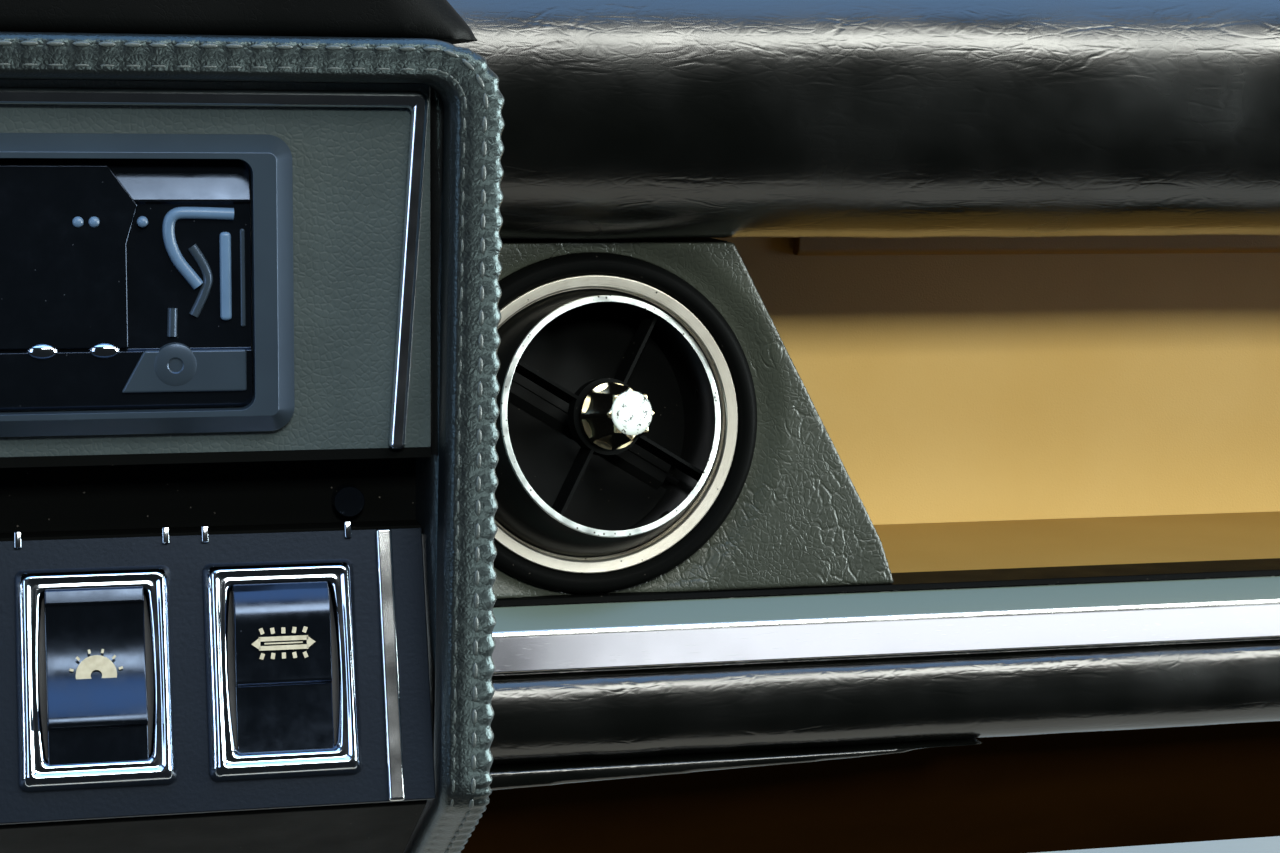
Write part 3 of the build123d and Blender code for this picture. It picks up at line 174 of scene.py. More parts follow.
# Steelwork behind the trim: cross beam, brackets, carrier, rail, ribs, base and ties, pressed from sheet
# and sprayed satin black. The spray leaves faint mottling, and its sheen drifts with it.
def pick(piece):
    """Makes this piece the only selected and active one."""
    bpy.ops.object.select_all(action="DESELECT")
    piece.select_set(True)
    bpy.context.view_layer.objects.active = piece


def shape(piece, kind, **settings):
    """Adds a modifier with these settings and applies it."""
    modifier = piece.modifiers.new(kind.title(), kind)
    for name, value in settings.items():
        setattr(modifier, name, value)
    pick(piece)
    bpy.ops.object.modifier_apply(modifier=modifier.name)


def bevelled(piece, width, segments, angle):
    """Rounds over the edges sharper than this angle."""
    shape(piece, "BEVEL", width=width, segments=segments, limit_method="ANGLE", angle_limit=radians(angle))


def open_mesh(piece):
    """Opens a piece for editing, with all of its mesh selected."""
    pick(piece)
    bpy.ops.object.mode_set(mode="EDIT")
    bpy.ops.mesh.select_all(action="SELECT")


def copy_of(node, name):
    """Copies a piece of the frame to a mesh of its own, its triangles merged back to whole faces."""
    piece = bpy.data.objects.new(name, nodes[node].data.copy())
    scene.collection.objects.link(piece)
    open_mesh(piece)
    bpy.ops.mesh.remove_doubles(threshold=5e-6)
    bpy.ops.mesh.customdata_custom_splitnormals_clear()
    bpy.ops.mesh.dissolve_limited(angle_limit=radians(0.5))
    bpy.ops.object.mode_set(mode="OBJECT")
    return piece


def smooth(piece, angle=35):
    """Smooth shading, with edges sharper than this left crisp."""
    pick(piece)
    bpy.ops.object.shade_smooth_by_angle(angle=radians(angle))


def keep_flat(piece, angle=35):
    """Smooth shading over broken edges, with the large faces between them left flat."""
    smooth(piece, angle)
    shape(piece, "WEIGHTED_NORMAL", weight=100, keep_sharp=True)


def dress(piece, slot, material, *replaced, body="root"):
    """Gives a piece its material and the body that it rides on; the slot is not used."""
    piece.data.materials.clear()
    piece.data.materials.append(material)
    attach(piece, body)
    if replaced:
        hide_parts(*replaced)


def eased(node, width, slot, material, segments=2, body="root"):
    """A copy of a piece of the frame with its sharp edges broken by this width."""
    piece = copy_of(node, node + "_eased")
    bevelled(piece, width, segments, 30)
    keep_flat(piece)
    dress(piece, slot, material, node, body=body)
    return piece


def paint_nodes(names, material):
    """Gives its material to pieces of the frame whose mesh stays as it is."""
    for name in names:
        nodes[name].material_slots[0].material = material


def satiny(name, cloud, dark, light, dull, detail=4, peel=0.001, depth=0.0, shine=0.5, tint=(1, 1, 1, 1)):
    """Satin paint or moulding: its shade and sheen drift in clouds of this width, over a fine peel."""
    made, place = blank(name)
    cloud = add(made, "TexNoise", {"Vector": place, "Scale": 1 / cloud, "Detail": detail})
    peel = add(made, "TexNoise", {"Vector": place, "Scale": 1 / peel, "Detail": 2})
    tone = add(made, "Mix", {0: cloud, 6: srgb(dark), 7: srgb(light)}, data_type="RGBA")
    dull = add(made, "MapRange", {0: cloud, 3: dull[0], 4: dull[1]})
    bump = add(made, "Bump", {"Height": peel, "Distance": depth})
    add(made, "OutputMaterial", {0: add(made, "BsdfPrincipled", {
        "Base Color": tone, "Roughness": dull, "Normal": bump,
        "Specular IOR Level": shine, "Specular Tint": tint})})
    return made


STEELWORK = ("cross_beam", "bulkhead_bracket", "pillar_bracket", "top_carrier", "fascia_rail",
             "shelf_ribs", "console_base", "console_ties", "switch_bodies")
steel = satiny("Satin black paint on steel", 0.018, "#17181A", "#2B2C2D", (0.38, 0.58),
               peel=0.0011, depth=0.00003)
paint_nodes(STEELWORK, steel)


# Padded pieces: foam under black grained vinyl, stretched over steel. The top crash roll runs the whole
# width, the console's hood and the lower roll are the same, and the vent panel is a thinner board.
def padded(node, name, rounding, voxel, relax):
    """Starts a padded piece: the frame's solid with its edges rounded over, remeshed and relaxed."""
    piece = copy_of(node, name)
    bevelled(piece, rounding, 4, 40)
    shape(piece, "REMESH", mode="VOXEL", voxel_size=voxel)
    shape(piece, "SMOOTH", factor=0.5, iterations=relax)
    return piece


def cover(piece, slot, material, node):
    """Finishes a padded piece: smooth and dressed."""
    smooth(piece, 60)
    dress(piece, slot, material, node)


def vinyl(name, cell, stretch, turn, depth, sheen, dark, light, shine):
    """Black vinyl with a pressed hide grain: creases round cells of this size, drawn out along one way."""
    made, place = blank(name)
    laid = add(made, "Mapping", {"Vector": place, "Rotation": turn, "Scale": stretch})
    drift = add(made, "TexNoise", {"Vector": laid, "Scale": 1 / (cell * 2.2), "Detail": 3}).outputs["Color"]
    drift = add(made, "VectorMath", {0: drift, "Scale": cell * 1.5}, operation="SCALE")
    bent = add(made, "VectorMath", {0: laid, 1: drift})
    folds = add(made, "TexVoronoi", {"Vector": bent, "Scale": 1 / cell}, feature="DISTANCE_TO_EDGE")
    folds = add(made, "MapRange", {0: folds, 1: 0.0, 2: 0.14}, interpolation_type="SMOOTHSTEP")
    small = add(made, "TexVoronoi", {"Vector": bent, "Scale": 2.7 / cell}, feature="DISTANCE_TO_EDGE")
    small = add(made, "MapRange", {0: small, 1: 0.0, 2: 0.22}, interpolation_type="SMOOTHSTEP")
    come = add(made, "TexNoise", {"Vector": place, "Scale": 1 / (cell * 3), "Detail": 2})
    come = add(made, "MapRange", {0: come, 1: 0.38, 2: 0.62}, interpolation_type="SMOOTHSTEP")
    folds = add(made, "Mix", {0: come, 2: 1.0, 3: folds})
    pores = add(made, "TexNoise", {"Vector": place, "Scale": 1 / 0.0006, "Detail": 2})
    height = add(made, "Math", {0: folds, 1: add(made, "Math", {0: small, 1: 0.35}, operation="MULTIPLY")})
    height = add(made, "Math", {0: height, 1: add(made, "Math", {0: pores, 1: 0.22}, operation="MULTIPLY")})
    bump = add(made, "Bump", {"Height": height, "Distance": depth})
    worn = add(made, "TexNoise", {"Vector": place, "Scale": 1 / 0.035, "Detail": 3})
    tone = add(made, "Mix", {0: worn, 6: srgb(dark), 7: srgb(light)}, data_type="RGBA")
    dull = add(made, "MapRange", {0: worn, 1: 0.3, 2: 0.7, 3: sheen - 0.05, 4: sheen + 0.08})
    add(made, "OutputMaterial", {0: add(made, "BsdfPrincipled", {
        "Base Color": tone, "Roughness": dull, "Normal": bump, "Specular IOR Level": shine})})
    return made


def reshape(piece, rule):
    """Moves each vertex by what the rule gives for its place and normal."""
    moves = [rule(vertex.co, vertex.normal) for vertex in piece.data.vertices]
    for vertex, move in zip(piece.data.vertices, moves):
        vertex.co += move


crash_roll = padded("crash_roll", "crash_roll_skin", 0.004, 0.0025, 4)
SLOW_WAVE = 0.0006
QUICK_WAVE = 0.00025
reshape(crash_roll, lambda co, normal: normal * (noise.noise(co * 14) * SLOW_WAVE
                                                 + noise.noise(co * 45) * QUICK_WAVE))
roll_vinyl = vinyl("Vinyl drawn over the roll", 0.005, (0.35, 1.0, 1.0), (0.0, radians(18), 0.0),
                   0.00003, 0.21, "#030403", "#060706", 0.85)
cover(crash_roll, "black_vinyl", roll_vinyl, "crash_roll")

hood = padded("console_hood", "console_hood_skin", 0.004, 0.002, 4)
hood_vinyl = vinyl("Plain vinyl of the hood", 0.0012, (1, 1, 1), (0, 0, 0),
                   0.00002, 0.5, "#040505", "#080909", 0.06)
cover(hood, "black_vinyl", hood_vinyl, "console_hood")

lower_roll = padded("lower_roll", "lower_roll_skin", 0.0015, 0.0014, 3)
ROLL_AXIS = Vector((0, -0.1552, -0.0796))
ROLL_R = 0.0133
BULGE_FALL = 0.30
LEAST_REACH = 0.14
LOWER_WAVE = 0.0002


def fill_out(co, normal):
    """Brings the roll's upper front out to the strip's edge, where the foam bulges from under it."""
    share = min(1, max(0, (co.z - ROLL_AXIS.z) / ROLL_R))
    out = max(0, ROLL_AXIS.y - co.y)
    return Vector((0, out - out * (1 - BULGE_FALL * share ** 2) / max(LEAST_REACH, sqrt(1 - share ** 2)), 0))


reshape(lower_roll, fill_out)
reshape(lower_roll, lambda co, normal: normal * noise.noise(co * 60) * LOWER_WAVE)
cover(lower_roll, "black_vinyl", roll_vinyl, "lower_roll")

under_pad = padded("under_pad", "under_pad_skin", 0.0015, 0.0012, 3)
cover(under_pad, "black_vinyl", roll_vinyl, "under_pad")

# Vent panel: the vinyl dips into the seat of the vent in a soft dish round the flange.
VENT = Vector((0.192, -0.160, 0))
DISH_R = 0.0555
DISH_MOUTH_R = 0.0466
DISH_DEPTH = 0.0034
FRONT_BAND = 0.004
vent_panel = padded("vent_panel", "vent_panel_skin", 0.0012, 0.001, 3)


def dish(co, normal):
    """The dip of the panel's front round the vent."""
    share = (DISH_R - hypot(co.x - VENT.x, co.z)) / (DISH_R - DISH_MOUTH_R)
    share = min(1, max(0, share))
    front = 1 - min(1, max(0, (co.y - VENT.y) / FRONT_BAND))
    return Vector((0, DISH_DEPTH * share * share * (3 - 2 * share) * front, 0))


reshape(vent_panel, dish)
# The panel's grey-green base is painted sheen: the black vinyl is greyed to stand in for the soft reflection
# across its face.
panel_vinyl_painted_sheen = vinyl("Grained vinyl, greyed as painted sheen", 0.0042, (1.0, 1.0, 0.8), (0.0, radians(-35), 0.0),
                    0.00018, 0.42, "#292D28", "#393F38", 0.5)
cover(vent_panel, "black_vinyl", panel_vinyl_painted_sheen, "vent_panel")

# Parcel shelf: boards covered in tan hide, matt and finely grained, with a darker tan on the rail, top and
# floor that is painted shade. The closing panel below is in dark brown hide, also painted shade, and so
# dull that it stays dark under the lamps.
# for each hide: size of its clouds and pores, share of nap, depth, both shades, dullness, shine and boards
HIDES = (("Tan hide", 0.05, 0.0011, 1, 0.00006, "#B99B58", "#C6AC70", 0.62, 0.2, ("shelf_back", "end_cheek")),
         # The rail, top and floor take this darker tan as painted shade, where the roll shades the shelf and
         # light grazes its floor.
         ("Tan hide, darker as painted shade", 0.05, 0.0011, 1, 0.00006, "#8C7038", "#9E8248", 0.62, 0.2,
          ("shelf_rail", "shelf_floor", "shelf_top")),
         # The closing panel's dark brown is painted shade, for the shade that falls under the dash.
         ("Brown hide, dark as painted shade", 0.06, 0.0013, 0, 0.00008, "#2A1A08", "#40270C", 0.9, 0.0, ("closing_panel",)))
for name, cloud, pore, nap, depth, dark, light, dull, shine, boards in HIDES:
    hide, where = blank(name)
    cloud = add(hide, "TexNoise", {"Vector": where, "Scale": 1 / cloud, "Detail": 5})
    pore = add(hide, "TexVoronoi", {"Vector": where, "Scale": 1 / pore}, feature="DISTANCE_TO_EDGE")
    fluff = add(hide, "TexNoise", {"Vector": where, "Scale": 1 / 0.0005, "Detail": 3})
    grain = add(hide, "Math", {0: fluff, 1: nap, 2: pore}, operation="MULTIPLY_ADD")
    tone = add(hide, "Mix", {0: cloud, 6: srgb(dark), 7: srgb(light)}, data_type="RGBA")
    bump = add(hide, "Bump", {"Height": grain, "Distance": depth})
    add(hide, "OutputMaterial", {0: add(hide, "BsdfPrincipled", {
        "Base Color": tone, "Roughness": dull, "Normal": bump, "Specular IOR Level": shine})})
    for board in boards:
        eased(board, 0.0008, "tan_leather", hide)

# Finisher strip: an aluminium extrusion, polished, with years of fine scratches along and across it, and
# a grey-green bevel along its top whose colour is a painted reflection of the sky. The console's two slim
# trims are plated as bright as it.
polished, where = blank("Polished aluminium")
marks = []
for turn, length, width in ((4, 0.024, 0.0005), (-24, 0.014, 0.0004), (52, 0.008, 0.0004)):
    laid = add(polished, "Mapping", {"Vector": where, "Rotation": (0, radians(turn), 0),
                                     "Scale": (1 / length, 1 / width, 1 / width)})
    line = add(polished, "TexVoronoi", {"Vector": laid, "Scale": 1})
    marks.append(add(polished, "MapRange", {0: line, 1: 0.06, 2: 0.10, 3: 1, 4: 0}))
marks = add(polished, "Math", {0: add(polished, "Math", {0: marks[0], 1: marks[1]}), 1: marks[2]},
            use_clamp=True)
haze = add(polished, "TexNoise", {"Vector": where, "Scale": 1 / 0.02, "Detail": 4})
dull = add(polished, "MapRange", {0: haze, 1: 0.3, 2: 0.7, 3: 0.13, 4: 0.22})
dull = add(polished, "Math", {0: dull, 1: add(polished, "Math", {0: marks, 1: 0.25}, operation="MULTIPLY")})
metal = add(polished, "BsdfPrincipled", {"Base Color": srgb("#EDEEEE"), "Metallic": 1.0, "Roughness": dull})
# The bevel's grey-green is a painted reflection of the sky above it.
grey = add(polished, "BsdfPrincipled", {"Base Color": srgb("#485650"), "Roughness": 0.3})
BEVEL_FOOT = -0.0550
BEVEL_TOP = -0.0491
BEVEL_BLEND = 0.0002
height = add(polished, "SeparateXYZ", {0: where}).outputs["Z"]
upper = add(polished, "MapRange", {0: height, 1: BEVEL_FOOT, 2: BEVEL_FOOT + 2 * BEVEL_BLEND})
under_edge = add(polished, "MapRange", {0: height, 1: BEVEL_TOP, 2: BEVEL_TOP + BEVEL_BLEND, 3: 1, 4: 0})
upper = add(polished, "Math", {0: upper, 1: under_edge}, operation="MULTIPLY")
add(polished, "OutputMaterial", {0: add(polished, "MixShader", {0: upper, 1: metal, 2: grey})})
strip = eased("finisher_strip", 0.0003, "polished_aluminium", polished)
lit_by_strip_card.objects.link(strip)


def plated(name, colour, least, most):
    """Bright plate: a clean mirror, dulled a little in faint clouds about 8 mm wide."""
    made, place = blank(name)
    haze = add(made, "TexNoise", {"Vector": place, "Scale": 1 / 0.008, "Detail": 4})
    dull = add(made, "MapRange", {0: haze, 1: 0.3, 2: 0.7, 3: least, 4: most})
    add(made, "OutputMaterial", {0: add(made, "BsdfPrincipled", {
        "Base Color": srgb(colour), "Metallic": 1.0, "Roughness": dull})})
    return made


bright = plated("Bright trim", "#E9ECF0", 0.14, 0.24)
eased("upper_trim", 0.0012, "polished_aluminium", bright, 4)
eased("lower_trim", 0.0007, "polished_aluminium", bright, 4)

# Black mouldings: the lip that closes the shelf's edge, the step panel, and the vent's pod, housing, duct
# and carrier. They are dull and finely napped, as they left the mould, with pale specks of dust.
plastic, where = blank("Black moulded plastic")
dust = add(plastic, "TexVoronoi", {"Vector": where, "Scale": 1 / 0.0035})
speck = add(plastic, "MapRange", {0: dust, 1: 0.03, 2: 0.07, 3: 1, 4: 0})
rub = add(plastic, "TexNoise", {"Vector": where, "Scale": 1 / 0.012, "Detail": 4})
tone = add(plastic, "Mix", {0: speck, 6: srgb("#060707"), 7: srgb("#3A3936")}, data_type="RGBA")
dull = add(plastic, "MapRange", {0: rub, 3: 0.45, 4: 0.65})
nap = add(plastic, "TexNoise", {"Vector": where, "Scale": 1 / 0.0004, "Detail": 2})
bump = add(plastic, "Bump", {"Height": nap, "Distance": 0.00003})
add(plastic, "OutputMaterial", {0: add(plastic, "BsdfPrincipled", {
    "Base Color": tone, "Roughness": dull, "Normal": bump, "Specular IOR Level": 0.03})})
eased("edge_lip", 0.0003, "black_plastic", plastic)
paint_nodes(("vent_pod", "vent_housing", "duct_neck", "carrier_ring", "step_panel"), plastic)


# Vent bezel: an aluminium ring, spun to a slope that falls inwards, brushed round and lightly worn.
# The bead outside it is soft black moulding with dust in it.
def new_piece(name, points, edges, faces):
    """A piece with a mesh of its own."""
    mesh = bpy.data.meshes.new(name)
    mesh.from_pydata(points, edges, faces)
    piece = bpy.data.objects.new(name, mesh)
    scene.collection.objects.link(piece)
    return piece


def close_mesh():
    """Turns the faces of the open mesh outwards and closes it."""
    bpy.ops.mesh.select_all(action="SELECT")
    bpy.ops.mesh.normals_make_consistent(inside=False)
    bpy.ops.object.mode_set(mode="OBJECT")


def spun(name, profile, centre, axis, closed=True, steps=128):
    """Turns a profile of (radius, distance along the axis) points, in millimetres, about an axis."""
    axis = Vector(axis).normalized()
    side = axis.orthogonal().normalized()
    points = [Vector(centre) + side * (radius / 1000) + axis * (along / 1000) for radius, along in profile]
    edges = [(i, i + 1) for i in range(len(points) - 1)] + ([(len(points) - 1, 0)] if closed else [])
    piece = new_piece(name, points, edges, [])
    open_mesh(piece)
    bpy.ops.mesh.spin(steps=steps, angle=2 * pi, center=centre, axis=axis)
    bpy.ops.mesh.select_all(action="SELECT")
    bpy.ops.mesh.remove_doubles(threshold=1e-6)
    close_mesh()
    return piece


def round_edges(piece, width, segments=2, angle=25):
    """Rounds over the edges sharper than this angle, and leaves the faces between them flat."""
    bevelled(piece, width, segments, angle)
    keep_flat(piece)


BACK = (0, 1, 0)
bezel = spun("bezel", [(40.7, 5.5), (40.7, 0.3), (40.4, 0.0), (37.7, 0.5), (37.3, 0.9), (37.2, 5.5)],
             VENT, BACK)
round_edges(bezel, 0.00015)
seat = spun("seat", [(37.3, 3.2), (36.8, 3.0), (36.7, 3.3), (37.3, 3.9)], VENT, BACK)
smooth(seat, 40)
brushed, where = blank("Spun aluminium")
flat = add(brushed, "VectorMath", {0: where, 1: VENT}, operation="SUBTRACT")
flat = add(brushed, "VectorMath", {0: flat, 1: (1, 0, 1)}, operation="MULTIPLY")
radius = add(brushed, "VectorMath", {0: flat}, operation="LENGTH")
rings = add(brushed, "TexNoise", {"W": radius, "Scale": 1 / 0.00022, "Detail": 2}, noise_dimensions="1D")
smear = add(brushed, "TexNoise", {"Vector": where, "Scale": 1 / 0.006, "Detail": 5, "Roughness": 0.65})
nick = add(brushed, "TexVoronoi", {"Vector": where, "Scale": 1 / 0.0042})
nick = add(brushed, "MapRange", {0: nick, 1: 0.04, 2: 0.08, 3: 1, 4: 0})
tone = add(brushed, "Mix", {0: smear, 6: srgb("#CFC9BA"), 7: srgb("#F2EEE4")}, data_type="RGBA")
tone = add(brushed, "Mix", {0: nick, 6: tone, 7: srgb("#4A463E")}, data_type="RGBA")
dull = add(brushed, "MapRange", {0: smear, 1: 0.3, 2: 0.7, 3: 0.36, 4: 0.50})
height = add(brushed, "Math", {0: rings, 1: nick}, operation="SUBTRACT")
bump = add(brushed, "Bump", {"Height": height, "Distance": 0.00004})
add(brushed, "OutputMaterial", {0: add(brushed, "BsdfPrincipled", {
    "Base Color": tone, "Metallic": 1.0, "Roughness": dull, "Normal": bump})})
dress(bezel, "spun_aluminium", brushed, "bezel_ring")
dress(seat, "spun_aluminium", brushed)
lit_by_ring_card.objects.link(bezel)
lit_by_ring_card.objects.link(seat)

flange = spun("flange", [(40.72, 5.5), (40.72, 0.9), (41.3, -0.4), (42.4, -1.3), (43.5, -1.5), (44.7, -1.2),
                         (45.8, -0.2), (46.4, 1.2), (46.4, 5.5)], VENT, BACK)
round_edges(flange, 0.0004, 3)
dress(flange, "black_vinyl", plastic, "vent_flange")

# Ball: spun black shell with a thin bright rim, turned aside and up on its pins. Four thin vanes meet in
# a hub, and the knob stands on a spindle through it; everything inside is matt black with dust.
BALL = Vector((0.192, -0.1482, 0))
AIM_SIDE = radians(12)
AIM_UP = radians(10)
AIM = Vector((sin(AIM_SIDE) * cos(AIM_UP), -cos(AIM_SIDE) * cos(AIM_UP), sin(AIM_UP)))
SHAFT_ANGLE = radians(150)
SHAFT = Vector((cos(SHAFT_ANGLE), 0, sin(SHAFT_ANGLE)))
SHAFT = (SHAFT - AIM * SHAFT.dot(AIM)).normalized()
ACROSS = AIM.cross(SHAFT)
ball_place = Matrix.Translation(BALL) @ Matrix((SHAFT, ACROSS, AIM)).transposed().to_4x4()
BALL_R = 37.5


def on_ball(ahead, radius=BALL_R):
    """Radius of the ball's skin at this distance ahead of its centre, in millimetres."""
    return sqrt(radius * radius - ahead * ahead)


# Sprayed black: smooth and half glossy under a film of dust, so that lamps show as soft glints.
spray, where = blank("Black sprayed ball")
dust = add(spray, "TexVoronoi", {"Vector": where, "Scale": 1 / 0.0028})
speck = add(spray, "MapRange", {0: dust, 1: 0.03, 2: 0.06, 3: 1, 4: 0})
tone = add(spray, "Mix", {0: speck, 6: srgb("#070808"), 7: srgb("#45433D")}, data_type="RGBA")
film = add(spray, "TexNoise", {"Vector": where, "Scale": 1 / 0.009, "Detail": 4})
dull = add(spray, "MapRange", {0: film, 3: 0.22, 4: 0.42})
add(spray, "OutputMaterial", {0: add(spray, "BsdfPrincipled", {
    "Base Color": tone, "Roughness": dull, "Specular IOR Level": 0.12})})
paint_nodes(("ball_shell", "flap_a", "flap_b", "flap_shaft"), spray)

RIM_FRONT = 18.9
RIM_EDGE = 18.45
RIM_MIDDLE = 17.4
RIM_BACK = 16.3
INSIDE_R = 36.1
rises = (RIM_BACK, RIM_MIDDLE, RIM_EDGE)
band = spun("ball_band", [(on_ball(rise), rise) for rise in rises]
            + [(on_ball(rise, INSIDE_R), rise) for rise in reversed(rises)], BALL, AIM)
keep_flat(band, 20)
dress(band, "spun_aluminium", spray, "ball_rim", body="ball")
rim = spun("rim", [(on_ball(RIM_EDGE), RIM_EDGE), (on_ball(RIM_FRONT), RIM_FRONT),
                   (on_ball(RIM_FRONT, INSIDE_R), RIM_FRONT), (on_ball(RIM_EDGE, INSIDE_R), RIM_EDGE)],
           BALL, AIM)
round_edges(rim, 0.0001)
# The rim's plate is bright, but dark pits break up its mirror.
pitted, where = blank("Pitted bright rim")
pit = add(pitted, "TexVoronoi", {"Vector": where, "Scale": 1 / 0.0019})
pit = add(pitted, "MapRange", {0: pit, 1: 0.10, 2: 0.20, 3: 1, 4: 0})
tone = add(pitted, "Mix", {0: pit, 6: srgb("#C9CDCB"), 7: srgb("#35352F")}, data_type="RGBA")
film = add(pitted, "TexNoise", {"Vector": where, "Scale": 1 / 0.004, "Detail": 5})
dull = add(pitted, "MapRange", {0: film, 1: 0.3, 2: 0.7, 3: 0.28, 4: 0.5})
add(pitted, "OutputMaterial", {0: add(pitted, "BsdfPrincipled", {
    "Base Color": tone, "Metallic": 1.0, "Roughness": dull})})
dress(rim, "spun_aluminium", pitted, body="ball")
eased("vane_spider", 0.0001, "black_plastic", plastic, body="ball")


# Flap seals: a thin moulded lip along each flap's root, that closes the gaps beside the knuckles and lies
# over the shaft. It folds back with its flap, so the shut vent shows no light behind.
def row_of(template, places, name):
    """Joins a copy of the template at each place into one new piece, and drops the template."""
    points, faces = [], []
    for place in places:
        start = len(points)
        points += [place @ vertex.co for vertex in template.data.vertices]
        faces += [[start + corner for corner in face.vertices] for face in template.data.polygons]
    piece = new_piece(name, points, [], faces)
    bpy.data.objects.remove(template)
    smooth(piece, 60)
    return piece


def drawn_out(name, corners, way):
    """A moulding made by drawing one flat outline out along this way."""
    piece = new_piece(name, corners, [], [range(len(corners))])
    open_mesh(piece)
    bpy.ops.mesh.extrude_region_move(TRANSFORM_OT_translate={"value": way})
    close_mesh()
    return piece


def bar(name, outline, width):
    """A moulding with this outline in (y, z) millimetres, drawn out along x and centred."""
    return drawn_out(name, [(-width / 2, y / 1000, z / 1000) for y, z in outline], (width, 0, 0))


FLAP_BACK = 6.0
SEAL_OUTLINE = [(0.15, 2.6), (0.15, 2.9), (3.0, 2.9), (5.0, 0.9), (5.0, 0.6), (2.9, 2.6)]
SEAL_LENGTH = 0.061
for name, side in (("flap_a", 1), ("flap_b", -1)):
    seal = bar(name + "_seal", [(side * y, z - FLAP_BACK) for y, z in SEAL_OUTLINE], SEAL_LENGTH)
    seal.data.transform(ball_place)
    keep_flat(seal)
    dress(seal, "black_plastic", spray, body=name)

# Knob: moulded black, eight hollows along its taper, with the paint rubbed through to brass on the lobes'
# tips and at the hollows' ends. Its white enamel cap is domed and has flaked.
KNOB_BASE = 17.3
KNOB_R = 9.2
KNOB_FRONT_R = 6.9
KNOB_LENGTH = 13.0
HOLLOW_SHARE = 0.7
HOLLOW_PLACE = 1.54
HOLLOW_START = 1.0
HOLLOW_RUN = 0.4
EDGE_LENGTH = 0.8
EDGE_DROP = 0.45
RUBBED_FROM = 12.0
HOLLOW_END = (0.9, 1.5)
KNOB_LOBES = 8
KNOB_TURN = radians(15)
bpy.ops.object.select_all(action="DESELECT")
bpy.ops.mesh.primitive_circle_add(vertices=KNOB_LOBES * 20, radius=KNOB_R / 1000, fill_type="NGON")
knob = bpy.context.active_object
knob.name = "knob_body"
open_mesh(knob)
heights = [0.5, 0.5, 0.4, 0.4, 0.6, 1.6, 2.4, 2.6, 2.2, 1.0, 0.5, 0.3]
for step in heights:
    bpy.ops.mesh.extrude_region_move(TRANSFORM_OT_translate={"value": (0, 0, step / 1000)})
bpy.ops.mesh.inset(thickness=0.0006)
bpy.ops.mesh.inset(thickness=0.0010)
bpy.ops.object.mode_set(mode="OBJECT")
wear = knob.data.attributes.new("wear", "FLOAT", "POINT")
for index, vertex in enumerate(knob.data.vertices):
    along = vertex.co.z * 1000
    angle = atan2(vertex.co.y, vertex.co.x) + KNOB_TURN
    swing = (angle % (2 * pi / KNOB_LOBES)) - pi / KNOB_LOBES
    taper = KNOB_R + (KNOB_FRONT_R - KNOB_R) * along / KNOB_LENGTH
    centre = taper * HOLLOW_PLACE
    reach = (taper * HOLLOW_SHARE) ** 2 - (centre * sin(swing)) ** 2
    hollow = centre * cos(swing) - sqrt(reach) if reach > 0 else taper
    start = min(1, max(0, (along - HOLLOW_START) / HOLLOW_RUN))
    outline = taper + (min(taper, hollow) - taper) * start
    edge = max(0, along - (KNOB_LENGTH - EDGE_LENGTH)) / EDGE_LENGTH
    outline -= EDGE_DROP * (1 - sqrt(max(0, 1 - edge * edge)))
    share = hypot(vertex.co.x, vertex.co.y) * 1000 / KNOB_R
    vertex.co.x *= outline / KNOB_R
    vertex.co.y *= outline / KNOB_R
    lobe = abs(swing) / (pi / KNOB_LOBES)
    tip = min(1, max(0, (lobe - 0.3) / 0.1)) * min(1, max(0, (along - RUBBED_FROM) / 0.5))
    end = min(1, max(0, (0.85 - lobe) / 0.1)) * (1 if HOLLOW_END[0] < along < HOLLOW_END[1] else 0)
    wear.data[index].value = max(tip * (1 if share > 0.8 else 0), end)
smooth(knob, 50)
knob.data.transform(ball_place @ Matrix.Translation((0, 0, KNOB_BASE / 1000)))
knob_black, where = blank("Black lacquer worn to brass")
worn = add(knob_black, "Attribute", attribute_name="wear").outputs["Fac"]
rub = add(knob_black, "TexNoise", {"Vector": where, "Scale": 1 / 0.0012, "Detail": 4})
rub = add(knob_black, "MapRange", {0: rub, 1: 0.3, 2: 0.7, 3: -0.35, 4: 0.35})
worn = add(knob_black, "Math", {0: worn, 1: rub})
worn = add(knob_black, "MapRange", {0: worn, 1: 0.45, 2: 0.55})
lacquer = add(knob_black, "BsdfPrincipled", {"Base Color": srgb("#0C0B09"), "Roughness": 0.22})
brass = add(knob_black, "BsdfPrincipled", {"Base Color": srgb("#F2DFB4"), "Metallic": 1.0, "Roughness": 0.3})
add(knob_black, "OutputMaterial", {0: add(knob_black, "MixShader", {0: worn, 1: lacquer, 2: brass})})
dress(knob, "knob_black", knob_black, "knob", body="knob")

# radius and rise above the knob's front of the points round the cap, in millimetres
CAP_OUTLINE = [(0, -0.2), (5.9, -0.2), (5.9, 0.35), (5.7, 0.6), (4.9, 0.95), (3.4, 1.25),
               (1.7, 1.38), (0, 1.4)]
cap = spun("cap", [(radius, KNOB_BASE + KNOB_LENGTH + rise) for radius, rise in CAP_OUTLINE],
           BALL, AIM, closed=False, steps=64)
smooth(cap, 50)
enamel, where = blank("White enamel, flaked")
bent = add(enamel, "TexNoise", {"Vector": where, "Scale": 1 / 0.0011, "Detail": 5, "Roughness": 0.7})
flake = add(enamel, "TexNoise", {"Vector": where, "Scale": 1 / 0.0026, "Detail": 6, "Roughness": 0.75})
flake = add(enamel, "MapRange", {0: flake, 1: 0.575, 2: 0.59})
tone = add(enamel, "Mix", {0: flake, 6: srgb("#D3E0DC"), 7: srgb("#23231F")}, data_type="RGBA")
dull = add(enamel, "MapRange", {0: flake, 3: 0.22, 4: 0.6})
bump = add(enamel, "Bump", {"Height": flake, "Distance": 0.00006}, invert=True)
add(enamel, "OutputMaterial", {0: add(enamel, "BsdfPrincipled", {
    "Base Color": tone, "Roughness": dull, "Normal": bump, "Coat Weight": 0.3})})
dress(cap, "knob_white", enamel, "knob_cap", body="knob")

